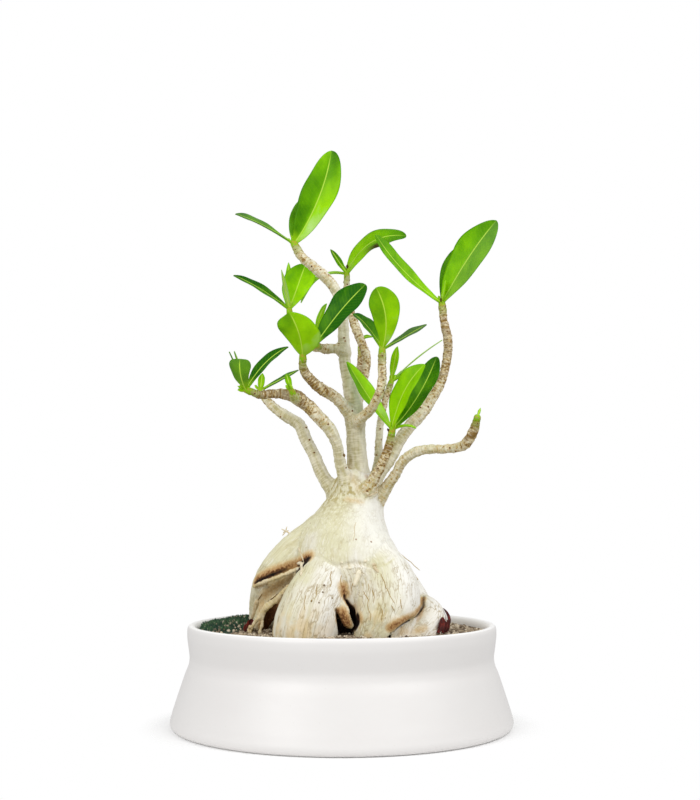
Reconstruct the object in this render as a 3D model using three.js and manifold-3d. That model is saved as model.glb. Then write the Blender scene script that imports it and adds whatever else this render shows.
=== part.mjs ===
// A potted desert rose: a shrub with a swollen caudex on spreading roots, bare ringed branches
// and a tuft of leaves at each tip, growing in a round flared ceramic pot filled with soil.
// Millimetres, +Z up. The origin is the pot's axis, on the surface that the pot stands on.
// Seen from the front, +X is to the right and -Y is towards the viewer.

import * as THREE from 'three';
import { mergeVertices } from 'three/addons/utils/BufferGeometryUtils.js';
import Module from 'manifold-3d';

const wasm = await Module();
wasm.setup();

// Driving dimensions

const SEAT_GAP = 0.35;
const ROUND_SIDES = 56;

const POT = {
  rimRadius: 97,
  rimTop: 63.2,
  neckRadius: 95.2,
  neckHeight: 43,
  skirtRadius: 108.4,
  skirtHeight: 4.5,
  footRadius: 99,
  wall: 5.2,
  floor: 7.5,
  footWidth: 13,
  footRecess: 3,
  drainRadius: 8,
};

const SOIL = {
  edgeHeight: 58.5,
  crownHeight: 61,
};

const CAUDEX_SIDES = 16;
const CAUDEX_STEP = 10;
const ROOT_SIDES = 7;
const ROOT_STEP = 8;
const BRANCH_SIDES = 8;
const BRANCH_STEP = 9;

const BLADE_THICKNESS = 0.8;
const PETIOLE_WIDTH = 2.2;
const TIP_WIDTH = 1.2;
const TIP_CROWDING = 1.5;
const SHOOT_LENGTH = 5;
const SHOOT_TAPER = 0.75;

// Materials

function finish(color, roughness) {
  return new THREE.MeshStandardMaterial({ color, roughness, metalness: 0 });
}

const CERAMIC = finish(0xebe9e7, 0.45);
const EARTH = finish(0x3b2c22, 0.95);
const BARK = finish(0xd9ccb0, 0.8);
const LEAF = finish(0x5fa315, 0.4);

// Solids: a closed geometry becomes a solid that can be joined and cut, and back

function solidOf(geometry) {
  const bare = new THREE.BufferGeometry();
  bare.setAttribute('position', geometry.getAttribute('position').clone());
  bare.setIndex(geometry.getIndex());
  const merged = mergeVertices(bare, 1e-4);
  return new wasm.Manifold(new wasm.Mesh({
    numProp: 3,
    vertProperties: new Float32Array(merged.getAttribute('position').array),
    triVerts: new Uint32Array(merged.getIndex().array),
  }));
}

function fuse(solids) {
  return solids.reduce((whole, solid) => whole.add(solid));
}

function largestPart(solid) {
  const parts = solid.decompose();
  return parts.reduce((best, part) => (part.volume() > best.volume() ? part : best));
}

function piece(name, solid, material) {
  const { vertProperties, triVerts } = solid.getMesh();
  const geometry = new THREE.BufferGeometry();
  geometry.setAttribute('position', new THREE.BufferAttribute(new Float32Array(vertProperties), 3));
  geometry.setIndex(new THREE.BufferAttribute(new Uint32Array(triVerts), 1));
  const mesh = new THREE.Mesh(geometry, material);
  mesh.name = name;
  return mesh;
}

function closedMesh(points, triangles) {
  const geometry = new THREE.BufferGeometry();
  geometry.setAttribute('position', new THREE.Float32BufferAttribute(points.flatMap((p) => p.toArray()), 3));
  geometry.setIndex(triangles.flat());
  return solidOf(geometry);
}

// A limb is a round, tapering, bent stem. Each station is [x, y, z, radius].

function limb(stations, { sides, step, grow = 0 }) {
  const centres = stations.map(([x, y, z]) => new THREE.Vector3(x, y, z));
  const curve = new THREE.CatmullRomCurve3(centres, false, 'centripetal');
  const rings = Math.max(2, Math.round(curve.getLength() / step));
  const frames = curve.computeFrenetFrames(rings);
  const radiusAt = (t) => {
    const place = t * (stations.length - 1);
    const i = Math.min(Math.floor(place), stations.length - 2);
    return THREE.MathUtils.lerp(stations[i][3], stations[i + 1][3], place - i) + grow;
  };
  const points = [];
  for (let ring = 0; ring <= rings; ring += 1) {
    const along = ring / rings;
    const centre = curve.getPointAt(along);
    const radius = radiusAt(curve.getUtoTmapping(along));
    for (let side = 0; side < sides; side += 1) {
      const angle = (2 * Math.PI * side) / sides;
      points.push(centre.clone()
        .addScaledVector(frames.normals[ring], radius * Math.cos(angle))
        .addScaledVector(frames.binormals[ring], radius * Math.sin(angle)));
    }
  }
  const start = curve.getPointAt(0).addScaledVector(frames.tangents[0], -grow);
  const end = curve.getPointAt(1).addScaledVector(frames.tangents[rings], grow);
  const startIndex = points.push(start) - 1;
  const endIndex = points.push(end) - 1;
  const triangles = [];
  for (let side = 0; side < sides; side += 1) {
    const next = (side + 1) % sides;
    triangles.push([startIndex, next, side]);
    triangles.push([endIndex, rings * sides + side, rings * sides + next]);
    for (let ring = 0; ring < rings; ring += 1) {
      const a = ring * sides + side;
      const b = ring * sides + next;
      triangles.push([a, b, b + sides]);
      triangles.push([a, b + sides, a + sides]);
    }
  }
  return closedMesh(points, triangles);
}

// The wood. The caudex legs are thick limbs that run together into one swollen body
// and go on down into the soil. The loose roots leave it at the left, under an overhanging arm.

const CAUDEX_LIMBS = {
  body: [[8, -1, 151, 12], [8, -1, 143, 17], [7, -2, 134, 20], [4, -4, 125, 24], [3, -7, 114, 29],
    [3, -9, 103, 34], [4, -10, 92, 36], [4, -8, 79, 34], [4, -5, 62, 32], [4, -3, 42, 24]],
  bodyBack: [[7, 1, 138, 15], [5, 6, 122, 22], [4, 11, 106, 27], [4, 15, 92, 29], [4, 16, 76, 28],
    [4, 14, 58, 26], [4, 12, 42, 20]],
  leftArm: [[0, -3, 126, 15], [-14, -8, 115, 13], [-28, -13, 106, 12], [-40, -15, 97, 11],
    [-47, -13, 88, 9], [-51, -8, 77, 7], [-53, -3, 64, 5.5], [-54, 0, 42, 4]],
  leftBack: [[-6, 8, 114, 15], [-24, 15, 100, 15], [-38, 20, 84, 14], [-46, 23, 67, 12], [-49, 24, 42, 8]],
  leftBulge: [[-24, -8, 97, 10], [-35, -12, 87, 9], [-44, -12, 77, 8], [-50, -11, 65, 6], [-53, -11, 44, 4]],
  frontLeft: [[0, -8, 114, 16], [-6, -22, 99, 17], [-13, -34, 85, 19], [-19, -41, 71, 20],
    [-22, -44, 57, 19], [-21, -44, 38, 12]],
  frontRight: [[14, -8, 114, 16], [21, -20, 100, 18], [27, -31, 87, 20], [27, -38, 74, 20],
    [24, -42, 63, 17], [19, -43, 54, 12], [17, -43, 38, 8]],
  right: [[20, -1, 114, 12], [31, -3, 98, 11], [38, -5, 86, 12], [43, -8, 75, 13], [50, -10, 65, 13],
    [53, -11, 56, 13], [52, -12, 40, 8]],
  backLeft: [[-2, 10, 114, 17], [-12, 27, 94, 19], [-20, 38, 74, 19], [-24, 43, 56, 17], [-24, 44, 36, 10]],
  backRight: [[12, 10, 114, 17], [22, 25, 96, 17], [31, 34, 76, 17], [37, 39, 57, 15], [38, 40, 36, 9]],
};

const LOOSE_ROOTS = {
  rod: [[-22, -20, 102, 2], [-30, -28, 97, 1.8], [-41, -31, 92, 1.8], [-52, -29, 86, 1.6],
    [-57, -24, 80, 1.4]],
  lumpy: [[-28, -18, 92, 3], [-36, -26, 84, 3.2], [-43, -27, 78, 3.8], [-49, -27, 71, 3],
    [-54, -28, 62, 1.8], [-56, -29, 46, 1.5]],
  lumpyFork: [[-46, -26, 75, 2.6], [-48, -27, 66, 1.8], [-49, -27, 48, 1.5]],
  inner: [[0, -34, 90, 3], [3, -38, 78, 3], [7, -40, 66, 3], [8, -40, 46, 2.5]],
};

const BRANCHES = {
  trunk: [[10, -2, 140, 13], [10, -2, 149, 10], [10, -2, 160, 7.3], [9, -2, 179, 6.1],
    [8, -2, 197, 5.8], [5, -2, 213, 4.4], [2, -1, 229, 3.8], [1, -1, 247, 3.6], [0, 0, 262, 3.3],
    [-3, 0, 274, 3.3], [-10, 0, 284, 3.5], [-19, 0, 292, 3.3], [-26, 0, 298, 3], [-30, 2, 305, 2.6]],
  frontLeft: [[8, -3, 192, 5], [3, -8, 198, 4], [-5, -16, 206, 3.6], [-13, -22, 210, 3.5],
    [-20, -27, 216, 3.1], [-24, -31, 222, 2.6], [-24, -34, 227, 2.4]],
  frontMid: [[9, -3, 190, 4.4], [12, -15, 192, 3.5], [18, -24, 197, 3], [23, -30, 206, 2.8],
    [25, -31, 215, 2.7], [25, -31, 223, 2.6], [25, -32, 231, 2.4]],
  backLeft: [[2, -2, 236, 3.2], [-4, -2, 238, 2.9], [-10, 0, 238, 2.7], [-16, 2, 239, 2.6],
    [-23, 7, 241, 2.4], [-29, 12, 246, 2.3], [-34, 18, 256, 2.1], [-35, 22, 265, 2.1]],
  innerSpur: [[-10, -2, 238, 2.5], [-14, -8, 238, 2.4], [-16, -15, 238, 2.3]],
  backMid: [[8, -1, 199, 4], [12, 8, 211, 3], [15, 14, 224, 2.7], [16, 18, 235, 2.9],
    [12, 22, 247, 2.9], [8, 26, 258, 3], [5, 29, 269, 2.7], [3, 32, 282, 2.4], [3, 34, 291, 2.1]],
  backSpur: [[10, 6, 207, 2.6], [10, 17, 216, 2.2], [11, 25, 226, 2.1], [12, 30, 234, 2],
    [12, 33, 242, 1.8]],
  leftFront: [[5, -7, 144, 7], [2, -10, 154, 4.4], [-1, -13, 164, 3.6], [-3, -17, 175, 3.5],
    [-7, -20, 184, 3.8], [-14, -22, 192, 4.1], [-22, -24, 200, 4.1], [-29, -27, 205, 3.8],
    [-36, -30, 206, 3.2], [-44, -32, 206, 2.8], [-50, -35, 205, 2.5], [-56, -38, 207, 2.3]],
  leftBack: [[-3, 2, 138, 8], [-8, 2, 147, 5.2], [-13, 5, 158, 4.2], [-18, 8, 170, 3.9],
    [-23, 11, 179, 3.9], [-28, 15, 190, 3.9], [-37, 17, 196, 3.6], [-44, 20, 201, 3.2],
    [-50, 23, 207, 2.9], [-53, 26, 212, 2.4]],
  right: [[16, 4, 138, 9], [21, 6, 147, 6], [26, 9, 158, 4.8], [31, 11, 168, 4.2], [37, 13, 179, 3.9],
    [44, 15, 189, 4], [52, 17, 198, 4.2], [59, 19, 208, 3.6], [65, 21, 218, 3], [68, 22, 228, 3],
    [70, 24, 239, 3], [70, 25, 249, 3], [68, 27, 259, 2.7], [67, 29, 270, 2.6]],
  lowFront: [[13, -9, 142, 7], [17, -13, 148, 4.6], [20, -15, 154, 3.4], [24, -17, 161, 3.1],
    [27, -19, 168, 2.8], [30, -20, 176, 2.8], [31, -22, 182, 2.4]],
  rightBare: [[18, -3, 140, 7], [23, -7, 146, 4.6], [28, -11, 152, 3.5], [33, -15, 158, 3.2],
    [38, -19, 165, 3.1], [45, -23, 170, 3.1], [53, -27, 172, 2.9], [62, -30, 172, 2.8],
    [72, -33, 173, 2.9], [76, -37, 175, 3.1], [79, -41, 180, 3.1], [81, -43, 185, 2.8],
    [82, -46, 190, 2.2]],
  lowBack: [[15, 9, 138, 7], [19, 14, 149, 3.6], [23, 18, 165, 2.6], [24, 22, 177, 2.6],
    [25, 26, 190, 2.4], [27, 29, 201, 2.4], [29, 33, 209, 2.3], [32, 36, 218, 2.1]],
  lowSpur: [[-28, -26, 204, 3.6], [-29, -32, 204, 2.4], [-30, -34, 206, 2]],
};

function limbSet(limbs, shape) {
  return Object.values(limbs).map((stations) => limb(stations, shape));
}

function wood(grow = 0) {
  return largestPart(fuse([
    ...limbSet(CAUDEX_LIMBS, { sides: CAUDEX_SIDES, step: CAUDEX_STEP, grow }),
    ...limbSet(LOOSE_ROOTS, { sides: ROOT_SIDES, step: ROOT_STEP, grow }),
    ...limbSet(BRANCHES, { sides: BRANCH_SIDES, step: BRANCH_STEP, grow }),
  ]));
}

// A leaf is a thin blade on a bowed midrib. It runs from its shoot to its tip, its upper side
// looks towards `face`, `bow` is how far the midrib's middle stands off the straight line,
// `widest` is how far along the blade is broadest, and `fold` lifts its edges.

function leaf(from, { to, wide, face, bow = [0, 0, 0], widest = 0.55, blunt = 0.65, fold = 0.25 }) {
  const start = new THREE.Vector3(...from);
  const chord = new THREE.Vector3(...to).sub(start);
  const bend = new THREE.Vector3(...bow);
  const rows = Math.round(THREE.MathUtils.clamp(wide / 2, 4, 8));
  const columns = wide > 12 ? 4 : 2;
  const skew = Math.log(0.5) / Math.log(widest);
  const layer = (side) => {
    const points = [];
    for (let row = 0; row <= rows; row += 1) {
      const t = 1 - (1 - row / rows) ** TIP_CROWDING;
      const rib = start.clone().addScaledVector(chord, t).addScaledVector(bend, 4 * t * (1 - t));
      const along = chord.clone().addScaledVector(bend, 4 * (1 - 2 * t)).normalize();
      const up = new THREE.Vector3(...face);
      up.addScaledVector(along, -up.dot(along)).normalize();
      const across = along.clone().cross(up);
      const least = THREE.MathUtils.lerp(PETIOLE_WIDTH, TIP_WIDTH, t) / 2;
      const half = Math.max(least, (wide / 2) * Math.sin(Math.PI * t ** skew) ** blunt);
      for (let column = 0; column <= columns; column += 1) {
        const k = (2 * column) / columns - 1;
        points.push(rib.clone()
          .addScaledVector(across, k * half)
          .addScaledVector(up, fold * half * Math.abs(k) ** 1.4 + (side * BLADE_THICKNESS) / 2));
      }
    }
    return points;
  };
  const top = layer(1);
  const count = top.length;
  const width = columns + 1;
  const triangles = [];
  for (let row = 0; row < rows; row += 1) {
    for (let column = 0; column < columns; column += 1) {
      const a = row * width + column;
      triangles.push([a, a + 1, a + 1 + width], [a, a + 1 + width, a + width]);
      triangles.push([count + a, count + a + 1 + width, count + a + 1]);
      triangles.push([count + a, count + a + width, count + a + 1 + width]);
    }
    const left = row * width;
    const right = left + columns;
    triangles.push([left, left + width, count + left + width]);
    triangles.push([left, count + left + width, count + left]);
    triangles.push([right, count + right + width, right + width]);
    triangles.push([right, count + right, count + right + width]);
  }
  for (let column = 0; column < columns; column += 1) {
    const near = column;
    const far = rows * width + column;
    triangles.push([near, count + near + 1, near + 1], [near, count + near, count + near + 1]);
    triangles.push([far, far + 1, count + far + 1], [far, count + far + 1, count + far]);
  }
  return closedMesh([...top, ...layer(-1)], triangles);
}

// The tufts. Each grows on the end of a branch and has its own leaves.

const TUFTS = {
  crown: { on: 'trunk', leaves: [
    { to: [-7, -2, 368], wide: 23, face: [-0.15, -1, 0.1], bow: [4, -3, -1], widest: 0.52, blunt: 0.55 },
    { to: [-69, -6, 325], wide: 10, face: [0.1, -0.6, 1], bow: [0, 0, 2], widest: 0.72 },
  ] },
  inner: { on: 'innerSpur', leaves: [
    { to: [15, -22, 276], wide: 15, face: [-0.4, -1, 0.4], bow: [-1, -2, 1], widest: 0.6 },
    { to: [-10, -3, 266], wide: 7, face: [0.9, -0.6, 0.1], bow: [-2, 0, 2] },
  ] },
  frontLeft: { on: 'frontLeft', leaves: [
    { to: [-36, -54, 255], wide: 24, face: [0.1, 1, 0.6], bow: [2, -4, 0], widest: 0.55, blunt: 0.55,
      fold: 0.15 },
  ] },
  backLeft: { on: 'backLeft', leaves: [
    { to: [-28, 38, 300], wide: 20, face: [-0.1, -1, 0.3], bow: [0, 0, 0], widest: 0.62, blunt: 0.5 },
    { to: [-72, 16, 289], wide: 10, face: [0.2, -0.7, 1], bow: [0, 0, 2], widest: 0.55 },
    { to: [-40, 12, 292], wide: 6, face: [1, 0.1, 0] },
    { to: [-39, 46, 300], wide: 9, face: [-0.2, -1, 0.4] },
  ] },
  backMid: { on: 'backMid', leaves: [
    { to: [42, 28, 317], wide: 17, face: [-0.5, -1, 0.7], bow: [-6, -2, 7], widest: 0.58, blunt: 0.5,
      fold: 0.1 },
    { to: [-8, 28, 309], wide: 5, face: [0.5, -1, 0.2] },
    { to: [-28, 36, 274], wide: 7, face: [-0.2, -0.6, 1], bow: [-3, 2, 8] },
  ] },
  backSpur: { on: 'backSpur', leaves: [
    { to: [20, 30, 250], wide: 5, face: [-0.6, -0.6, 1], bow: [-2, 0, 2] },
  ] },
  right: { on: 'right', leaves: [
    { to: [103, 21, 327], wide: 23, face: [-0.35, -1, 0.35], bow: [0, -3, 2], widest: 0.6, fold: 0.2 },
    { to: [22, 15, 316], wide: 14, face: [0.5, -0.8, 0.5], bow: [-3, -2, -3], widest: 0.5 },
    { to: [83, 43, 308], wide: 10, face: [-0.3, -1, 0.3], bow: [-1, 0, 1] },
    { to: [69, 23, 287], wide: 4, face: [-1, -0.5, 0] },
  ] },
  frontMid: { on: 'frontMid', leaves: [
    { to: [22, -48, 271], wide: 20, face: [0.1, 1, 0.5], bow: [3, -4, 0], widest: 0.66, blunt: 0.55,
      fold: 0.15 },
    { to: [7, -30, 256], wide: 14, face: [0.5, -0.5, 0.7], bow: [0, 0, 3], widest: 0.6 },
    { to: [53, -26, 250], wide: 8, face: [-0.4, -0.7, 1], widest: 0.65 },
  ] },
  lowFront: { on: 'lowFront', leaves: [
    { to: [51, -42, 223], wide: 17, face: [-0.6, -1, 0.6], bow: [-3, -3, 3], widest: 0.55 },
    { to: [60, -16, 231], wide: 16, face: [-0.5, -1, 0.5], bow: [2, 0, -2], widest: 0.6 },
    { to: [3, -14, 228], wide: 14, face: [0.5, -0.7, 0.6], bow: [0, 5, -1], widest: 0.6 },
    { to: [46, -28, 185], wide: 4, face: [0, -0.3, 1], bow: [0, 0, 2] },
  ] },
  lowBack: { on: 'lowBack', leaves: [
    { to: [37, 33, 244], wide: 6, face: [-0.5, -1, 0.1], widest: 0.6 },
    { to: [63, 46, 246], wide: 10, face: [-0.4, -0.3, 1], bow: [0, 0, 0], widest: 0.35, blunt: 0.9 },
  ] },
  rightBare: { on: 'rightBare', leaves: [
    { to: [84, -46, 197], wide: 2.4, face: [0, -1, 0] },
  ] },
  leftFront: { on: 'leftFront', leaves: [
    { to: [-60, -57, 222], wide: 16, face: [0.1, 1, 0.6], bow: [-2, -4, -2], widest: 0.65, blunt: 0.5,
      fold: 0.15 },
    { to: [-33, -33, 235], wide: 9, face: [-0.2, -0.9, 1], bow: [-2, 2, 3], widest: 0.55 },
    { to: [-67, -27, 233], wide: 4, face: [1, -0.4, 0.6] },
    { to: [-68, -49, 230], wide: 4, face: [1, 0, 0.4] },
  ] },
  leftBack: { on: 'leftBack', leaves: [
    { to: [-53, 25, 225], wide: 5, face: [-0.3, -1, 0] },
    { to: [-29, 24, 227], wide: 5, face: [-0.2, -0.8, 1], widest: 0.6 },
  ] },
  leftSpur: { on: 'lowSpur', leaves: [
    { to: [-34, -38, 218], wide: 5, face: [0, -1, 0], widest: 0.6 },
  ] },
};

function tuft(on, leaves) {
  const [before, end] = BRANCHES[on].slice(-2);
  const tip = new THREE.Vector3(...end.slice(0, 3));
  const along = tip.clone().sub(new THREE.Vector3(...before.slice(0, 3))).normalize();
  const radius = end[3] * 0.92;
  const foot = tip.clone().addScaledVector(along, SEAT_GAP);
  const neck = foot.clone().addScaledVector(along, SHOOT_LENGTH / 2);
  const head = foot.clone().addScaledVector(along, SHOOT_LENGTH);
  const shoot = limb([
    [...foot.toArray(), radius],
    [...neck.toArray(), radius],
    [...head.toArray(), radius * SHOOT_TAPER],
  ], { sides: BRANCH_SIDES, step: SHOOT_LENGTH / 2 });
  const root = neck.toArray();
  return fuse([shoot, ...leaves.map((shape) => leaf(root, shape))]);
}

// The pot is a turned ring with a drain hole: its outline is [radius, height].

function lathe(outline) {
  const points = outline.map(([r, z]) => new THREE.Vector2(r, z));
  const geometry = new THREE.LatheGeometry(points, ROUND_SIDES);
  geometry.rotateX(Math.PI / 2);
  return solidOf(geometry);
}

function innerWall(inset) {
  const r = POT.wall + inset;
  return [
    [POT.footRadius - r + 3, POT.floor + 0.5 + inset],
    [POT.skirtRadius - r - 2, POT.floor + 4],
    [POT.skirtRadius - r - 4, 20],
    [POT.neckRadius - r + 3, POT.neckHeight - 10],
    [POT.neckRadius - r, POT.neckHeight],
  ];
}

function pot() {
  const rim = POT.rimRadius;
  const footInner = POT.footRadius - POT.footWidth;
  const outline = [
    [POT.drainRadius, POT.footRecess],
    [footInner - 2, POT.footRecess],
    [footInner, 0],
    [POT.footRadius, 0],
    [POT.footRadius + 5, 0.5],
    [POT.skirtRadius - 1, 2],
    [POT.skirtRadius, POT.skirtHeight],
    [POT.skirtRadius - 2, 11],
    [POT.skirtRadius - 6.5, 24],
    [98.6, 33],
    [95.9, 38.5],
    [POT.neckRadius, POT.neckHeight],
    [96.2, 50],
    [rim, 56],
    [rim, POT.rimTop - 1.5],
    [rim - 1.2, POT.rimTop],
    [rim - POT.wall + 1, POT.rimTop],
    [rim - POT.wall - 0.4, POT.rimTop - 2],
    ...innerWall(0).reverse(),
    [POT.drainRadius, POT.floor],
    [POT.drainRadius, POT.footRecess],
  ];
  return lathe(outline);
}

function soil() {
  const outline = [
    [0, POT.floor + 1],
    ...innerWall(SEAT_GAP),
    [POT.neckRadius - POT.wall - SEAT_GAP, SOIL.edgeHeight],
    [70, SOIL.crownHeight - 0.5],
    [0, SOIL.crownHeight],
  ];
  return largestPart(lathe(outline).subtract(wood(SEAT_GAP)));
}

const plant = new THREE.Group();
plant.add(piece('pot', pot(), CERAMIC));
plant.add(piece('soil', soil(), EARTH));
plant.add(piece('caudex_and_branches', wood(), BARK));
Object.entries(TUFTS).forEach(([place, { on, leaves }]) => {
  plant.add(piece(`leaves_${place}`, tuft(on, leaves), LEAF));
});

export default plant;
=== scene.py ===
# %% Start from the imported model
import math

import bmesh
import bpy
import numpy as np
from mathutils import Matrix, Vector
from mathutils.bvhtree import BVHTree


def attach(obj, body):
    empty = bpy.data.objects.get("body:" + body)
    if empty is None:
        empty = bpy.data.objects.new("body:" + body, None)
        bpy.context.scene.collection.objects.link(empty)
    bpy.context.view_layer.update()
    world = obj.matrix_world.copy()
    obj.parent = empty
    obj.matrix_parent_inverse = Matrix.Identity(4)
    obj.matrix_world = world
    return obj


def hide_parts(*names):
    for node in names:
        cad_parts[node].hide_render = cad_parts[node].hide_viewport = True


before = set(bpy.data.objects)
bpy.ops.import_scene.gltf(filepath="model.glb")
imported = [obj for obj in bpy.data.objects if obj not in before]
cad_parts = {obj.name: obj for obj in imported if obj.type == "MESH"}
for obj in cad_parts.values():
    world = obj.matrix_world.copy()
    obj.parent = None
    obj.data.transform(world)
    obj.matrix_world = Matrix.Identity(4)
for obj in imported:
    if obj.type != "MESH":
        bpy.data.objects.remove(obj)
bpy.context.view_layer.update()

# %% [markdown]
# A desert rose is a shrub that stores water in its swollen foot, the caudex. This one grows in
# a round white pot: fat root legs that run together into a pale body, a dozen thin ringed
# branches, and a tuft of glossy leaves at the tip of each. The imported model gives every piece
# its place and its size. This file gives them their finish: finer meshes in the same places,
# and materials made from nodes. All numbers are in millimetres unless a name says otherwise,
# and meshes are written in metres, because Blender's unit is the metre.

MM = 0.001
EASE = {"interpolation_type": "SMOOTHSTEP"}


def linear(code):
    """An sRGB colour such as #8CC32A as the linear colour that Blender works in."""
    channels = [int(code[i:i + 2], 16) / 255 for i in (1, 3, 5)]
    return (*[c / 12.92 if c <= 0.04045 else ((c + 0.055) / 1.055) ** 2.4 for c in channels], 1.0)


def add(tree, kind, inputs=None, **settings):
    """A new node with its settings. An input takes a value, a colour's code, a node or an output."""
    node = tree.nodes.new(kind)
    for name, value in settings.items():
        setattr(node, name, value)
    for key, value in (inputs or {}).items():
        if isinstance(value, bpy.types.Node):
            value = next(output for output in value.outputs if output.enabled)
        if isinstance(value, str) and value.startswith("#"):
            value = linear(value)
        if isinstance(value, bpy.types.NodeSocket):
            tree.links.new(value, node.inputs[key])
        else:
            node.inputs[key].default_value = value
    return node


# %% [markdown]
# The next helpers make meshes. One stores a number or a vector on every point. Such a stored
# number is called an attribute, and a material can read it: that is how the bark knows where it
# is thick, and the leaf where its midrib is. One builds an object from arrays of points and
# faces. The others start and end a tree of Geometry Nodes, give its named inputs their values,
# and keep what it makes as a plain mesh without the modifier.

# %% Mesh helpers
def store(mesh, name, values):
    """Stores a number or a vector on every point of a mesh."""
    values = np.asarray(values, np.float32)
    kind, part = ("FLOAT_VECTOR", "vector") if values.ndim == 2 else ("FLOAT", "value")
    mesh.attributes.new(name, kind, "POINT").data.foreach_set(part, values.ravel())


def new_object(name, points, faces, materials=(), attributes=None, smooth=True, edges=(), slots=None):
    """An object from points in mm and faces, with its attributes and materials."""
    mesh = bpy.data.meshes.new(name)
    mesh.from_pydata((np.asarray(points, float) * MM).tolist(), list(edges), [list(f) for f in faces])
    for key, values in (attributes or {}).items():
        store(mesh, key, values)
    for item in materials:
        mesh.materials.append(item)
    if slots is not None:
        mesh.polygons.foreach_set("material_index", slots)
    mesh.polygons.foreach_set("use_smooth", [smooth] * len(mesh.polygons))
    mesh.update()
    made = bpy.data.objects.new(name, mesh)
    bpy.context.scene.collection.objects.link(made)
    return made


def set_inputs(modifier, values):
    """Sets a node modifier's inputs, which are stored under each socket's identifier."""
    for socket in modifier.node_group.interface.items_tree:
        if socket.item_type == "SOCKET" and socket.in_out == "INPUT" and socket.name in values:
            modifier[socket.identifier] = values[socket.name]


def node_result(made, group, values, name):
    """The plain mesh that a node group makes of an object, as a new object."""
    modifier = made.modifiers.new(group.name, "NODES")
    modifier.node_group = group
    set_inputs(modifier, values)
    seen = made.evaluated_get(bpy.context.evaluated_depsgraph_get())
    mesh = bpy.data.meshes.new_from_object(seen)
    mesh.name = name
    made.modifiers.remove(modifier)
    result = bpy.data.objects.new(name, mesh)
    bpy.context.scene.collection.objects.link(result)
    print(name, "has", len(mesh.polygons), "faces")
    return result


SOCKETS = {float: "NodeSocketFloat", int: "NodeSocketInt", str: "NodeSocketString",
           bpy.types.Object: "NodeSocketObject", bpy.types.Material: "NodeSocketMaterial"}


def new_group(name, values):
    """A geometry node group with a geometry input, an input for each named value, and an output."""
    group = bpy.data.node_groups.new(name, "GeometryNodeTree")
    group.interface.new_socket("Geometry", in_out="INPUT", socket_type="NodeSocketGeometry")
    for label, value in values.items():
        group.interface.new_socket(label, in_out="INPUT", socket_type=SOCKETS[type(value)])
    group.interface.new_socket("Geometry", in_out="OUTPUT", socket_type="NodeSocketGeometry")
    return group, add(group, "NodeGroupInput").outputs


def finish_tree(tree, geometry, finish):
    """Ends a tree: its instances become real, and everything takes one material."""
    whole = add(tree, "GeometryNodeRealizeInstances", {0: geometry})
    coated = add(tree, "GeometryNodeSetMaterial", {"Geometry": whole, "Material": finish})
    add(tree, "NodeGroupOutput", {"Geometry": coated})


# %% [markdown]
# The studio. The object was photographed on pure white with broad, soft light, a little
# stronger from the upper right. A white world does most of that work, because light from
# everywhere gives the faint, soft shadows of a light tent. One large area lamp shapes the
# right side, and a weaker one from the left gives the leaves their sheen. The paper fades out
# into the white world, so no horizon shows. The camera stands 800 mm in front, a little above
# the rim of the pot, and looks up by five degrees.

# %% The camera
scene = bpy.context.scene
scene.view_settings.view_transform = "Standard"

PHOTO_WIDTH = 700
PHOTO_HEIGHT = 800
PIXELS_FOCAL = 1250.0
SENSOR = 36.0
EYE = Vector((5.1, -800.0, 135.0))
PITCH = 5.0
LAMP_AIM = Vector((0, 0, 150))

camera_data = bpy.data.cameras.new("camera")
camera_data.sensor_width = SENSOR
camera_data.lens = PIXELS_FOCAL * SENSOR / PHOTO_HEIGHT
camera = bpy.data.objects.new("camera", camera_data)
camera.location = EYE * MM
camera.rotation_euler = (math.radians(90 + PITCH), 0, 0)
scene.collection.objects.link(camera)
scene.camera = camera
print("camera lens:", camera_data.lens, "mm")

# %% The lights
WORLD_LIGHT = 0.63
world = bpy.data.worlds.new("light tent")
world.use_nodes = True
scene.world = world
sky = world.node_tree
seen_white = add(sky, "ShaderNodeBackground", {"Color": "#FFFFFF", "Strength": 1.0})
tent = add(sky, "ShaderNodeBackground", {"Color": "#FFFFFF", "Strength": WORLD_LIGHT})
ray = add(sky, "ShaderNodeLightPath")
both = add(sky, "ShaderNodeMixShader", {0: ray.outputs["Is Camera Ray"], 1: tent, 2: seen_white})
sky.links.new(both.outputs[0], sky.nodes["World Output"].inputs["Surface"])


def area_lamp(name, place, size, watts):
    """A square lamp at a place in mm that faces the middle of the plant."""
    data = bpy.data.lights.new(name, "AREA")
    data.size = size * MM
    data.energy = watts
    lamp = bpy.data.objects.new(name, data)
    lamp.location = Vector(place) * MM
    aim = LAMP_AIM - Vector(place)
    lamp.rotation_euler = aim.to_track_quat("-Z", "Y").to_euler()
    scene.collection.objects.link(lamp)


area_lamp("key", (620, -560, 780), 800, 5.0)
area_lamp("fill", (-620, -700, 620), 640, 4.3)
print(len(bpy.data.lights), "lamps")

# %% The paper floor
FLOOR_HALF = 900
FADE_START = 97
FADE_END = 130
paper = bpy.data.materials.new("white paper sweep")
paper.use_nodes = True
paper_tree = paper.node_tree
shader = paper_tree.nodes["Principled BSDF"]
shader.inputs["Base Color"].default_value = linear("#FAFAFA")
shader.inputs["Roughness"].default_value = 1.0
shader.inputs["Specular IOR Level"].default_value = 0.0
place = add(paper_tree, "ShaderNodeTexCoord").outputs["Object"]
away = add(paper_tree, "ShaderNodeVectorMath", {0: place}, operation="LENGTH").outputs["Value"]
fade = add(paper_tree, "ShaderNodeMapRange", {0: away, 1: FADE_START * MM, 2: FADE_END * MM}, **EASE)
gone = add(paper_tree, "ShaderNodeBsdfTransparent")
sheet = add(paper_tree, "ShaderNodeMixShader", {0: fade, 1: shader, 2: gone})
paper_tree.links.new(sheet.outputs[0], paper_tree.nodes["Material Output"].inputs["Surface"])
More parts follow.
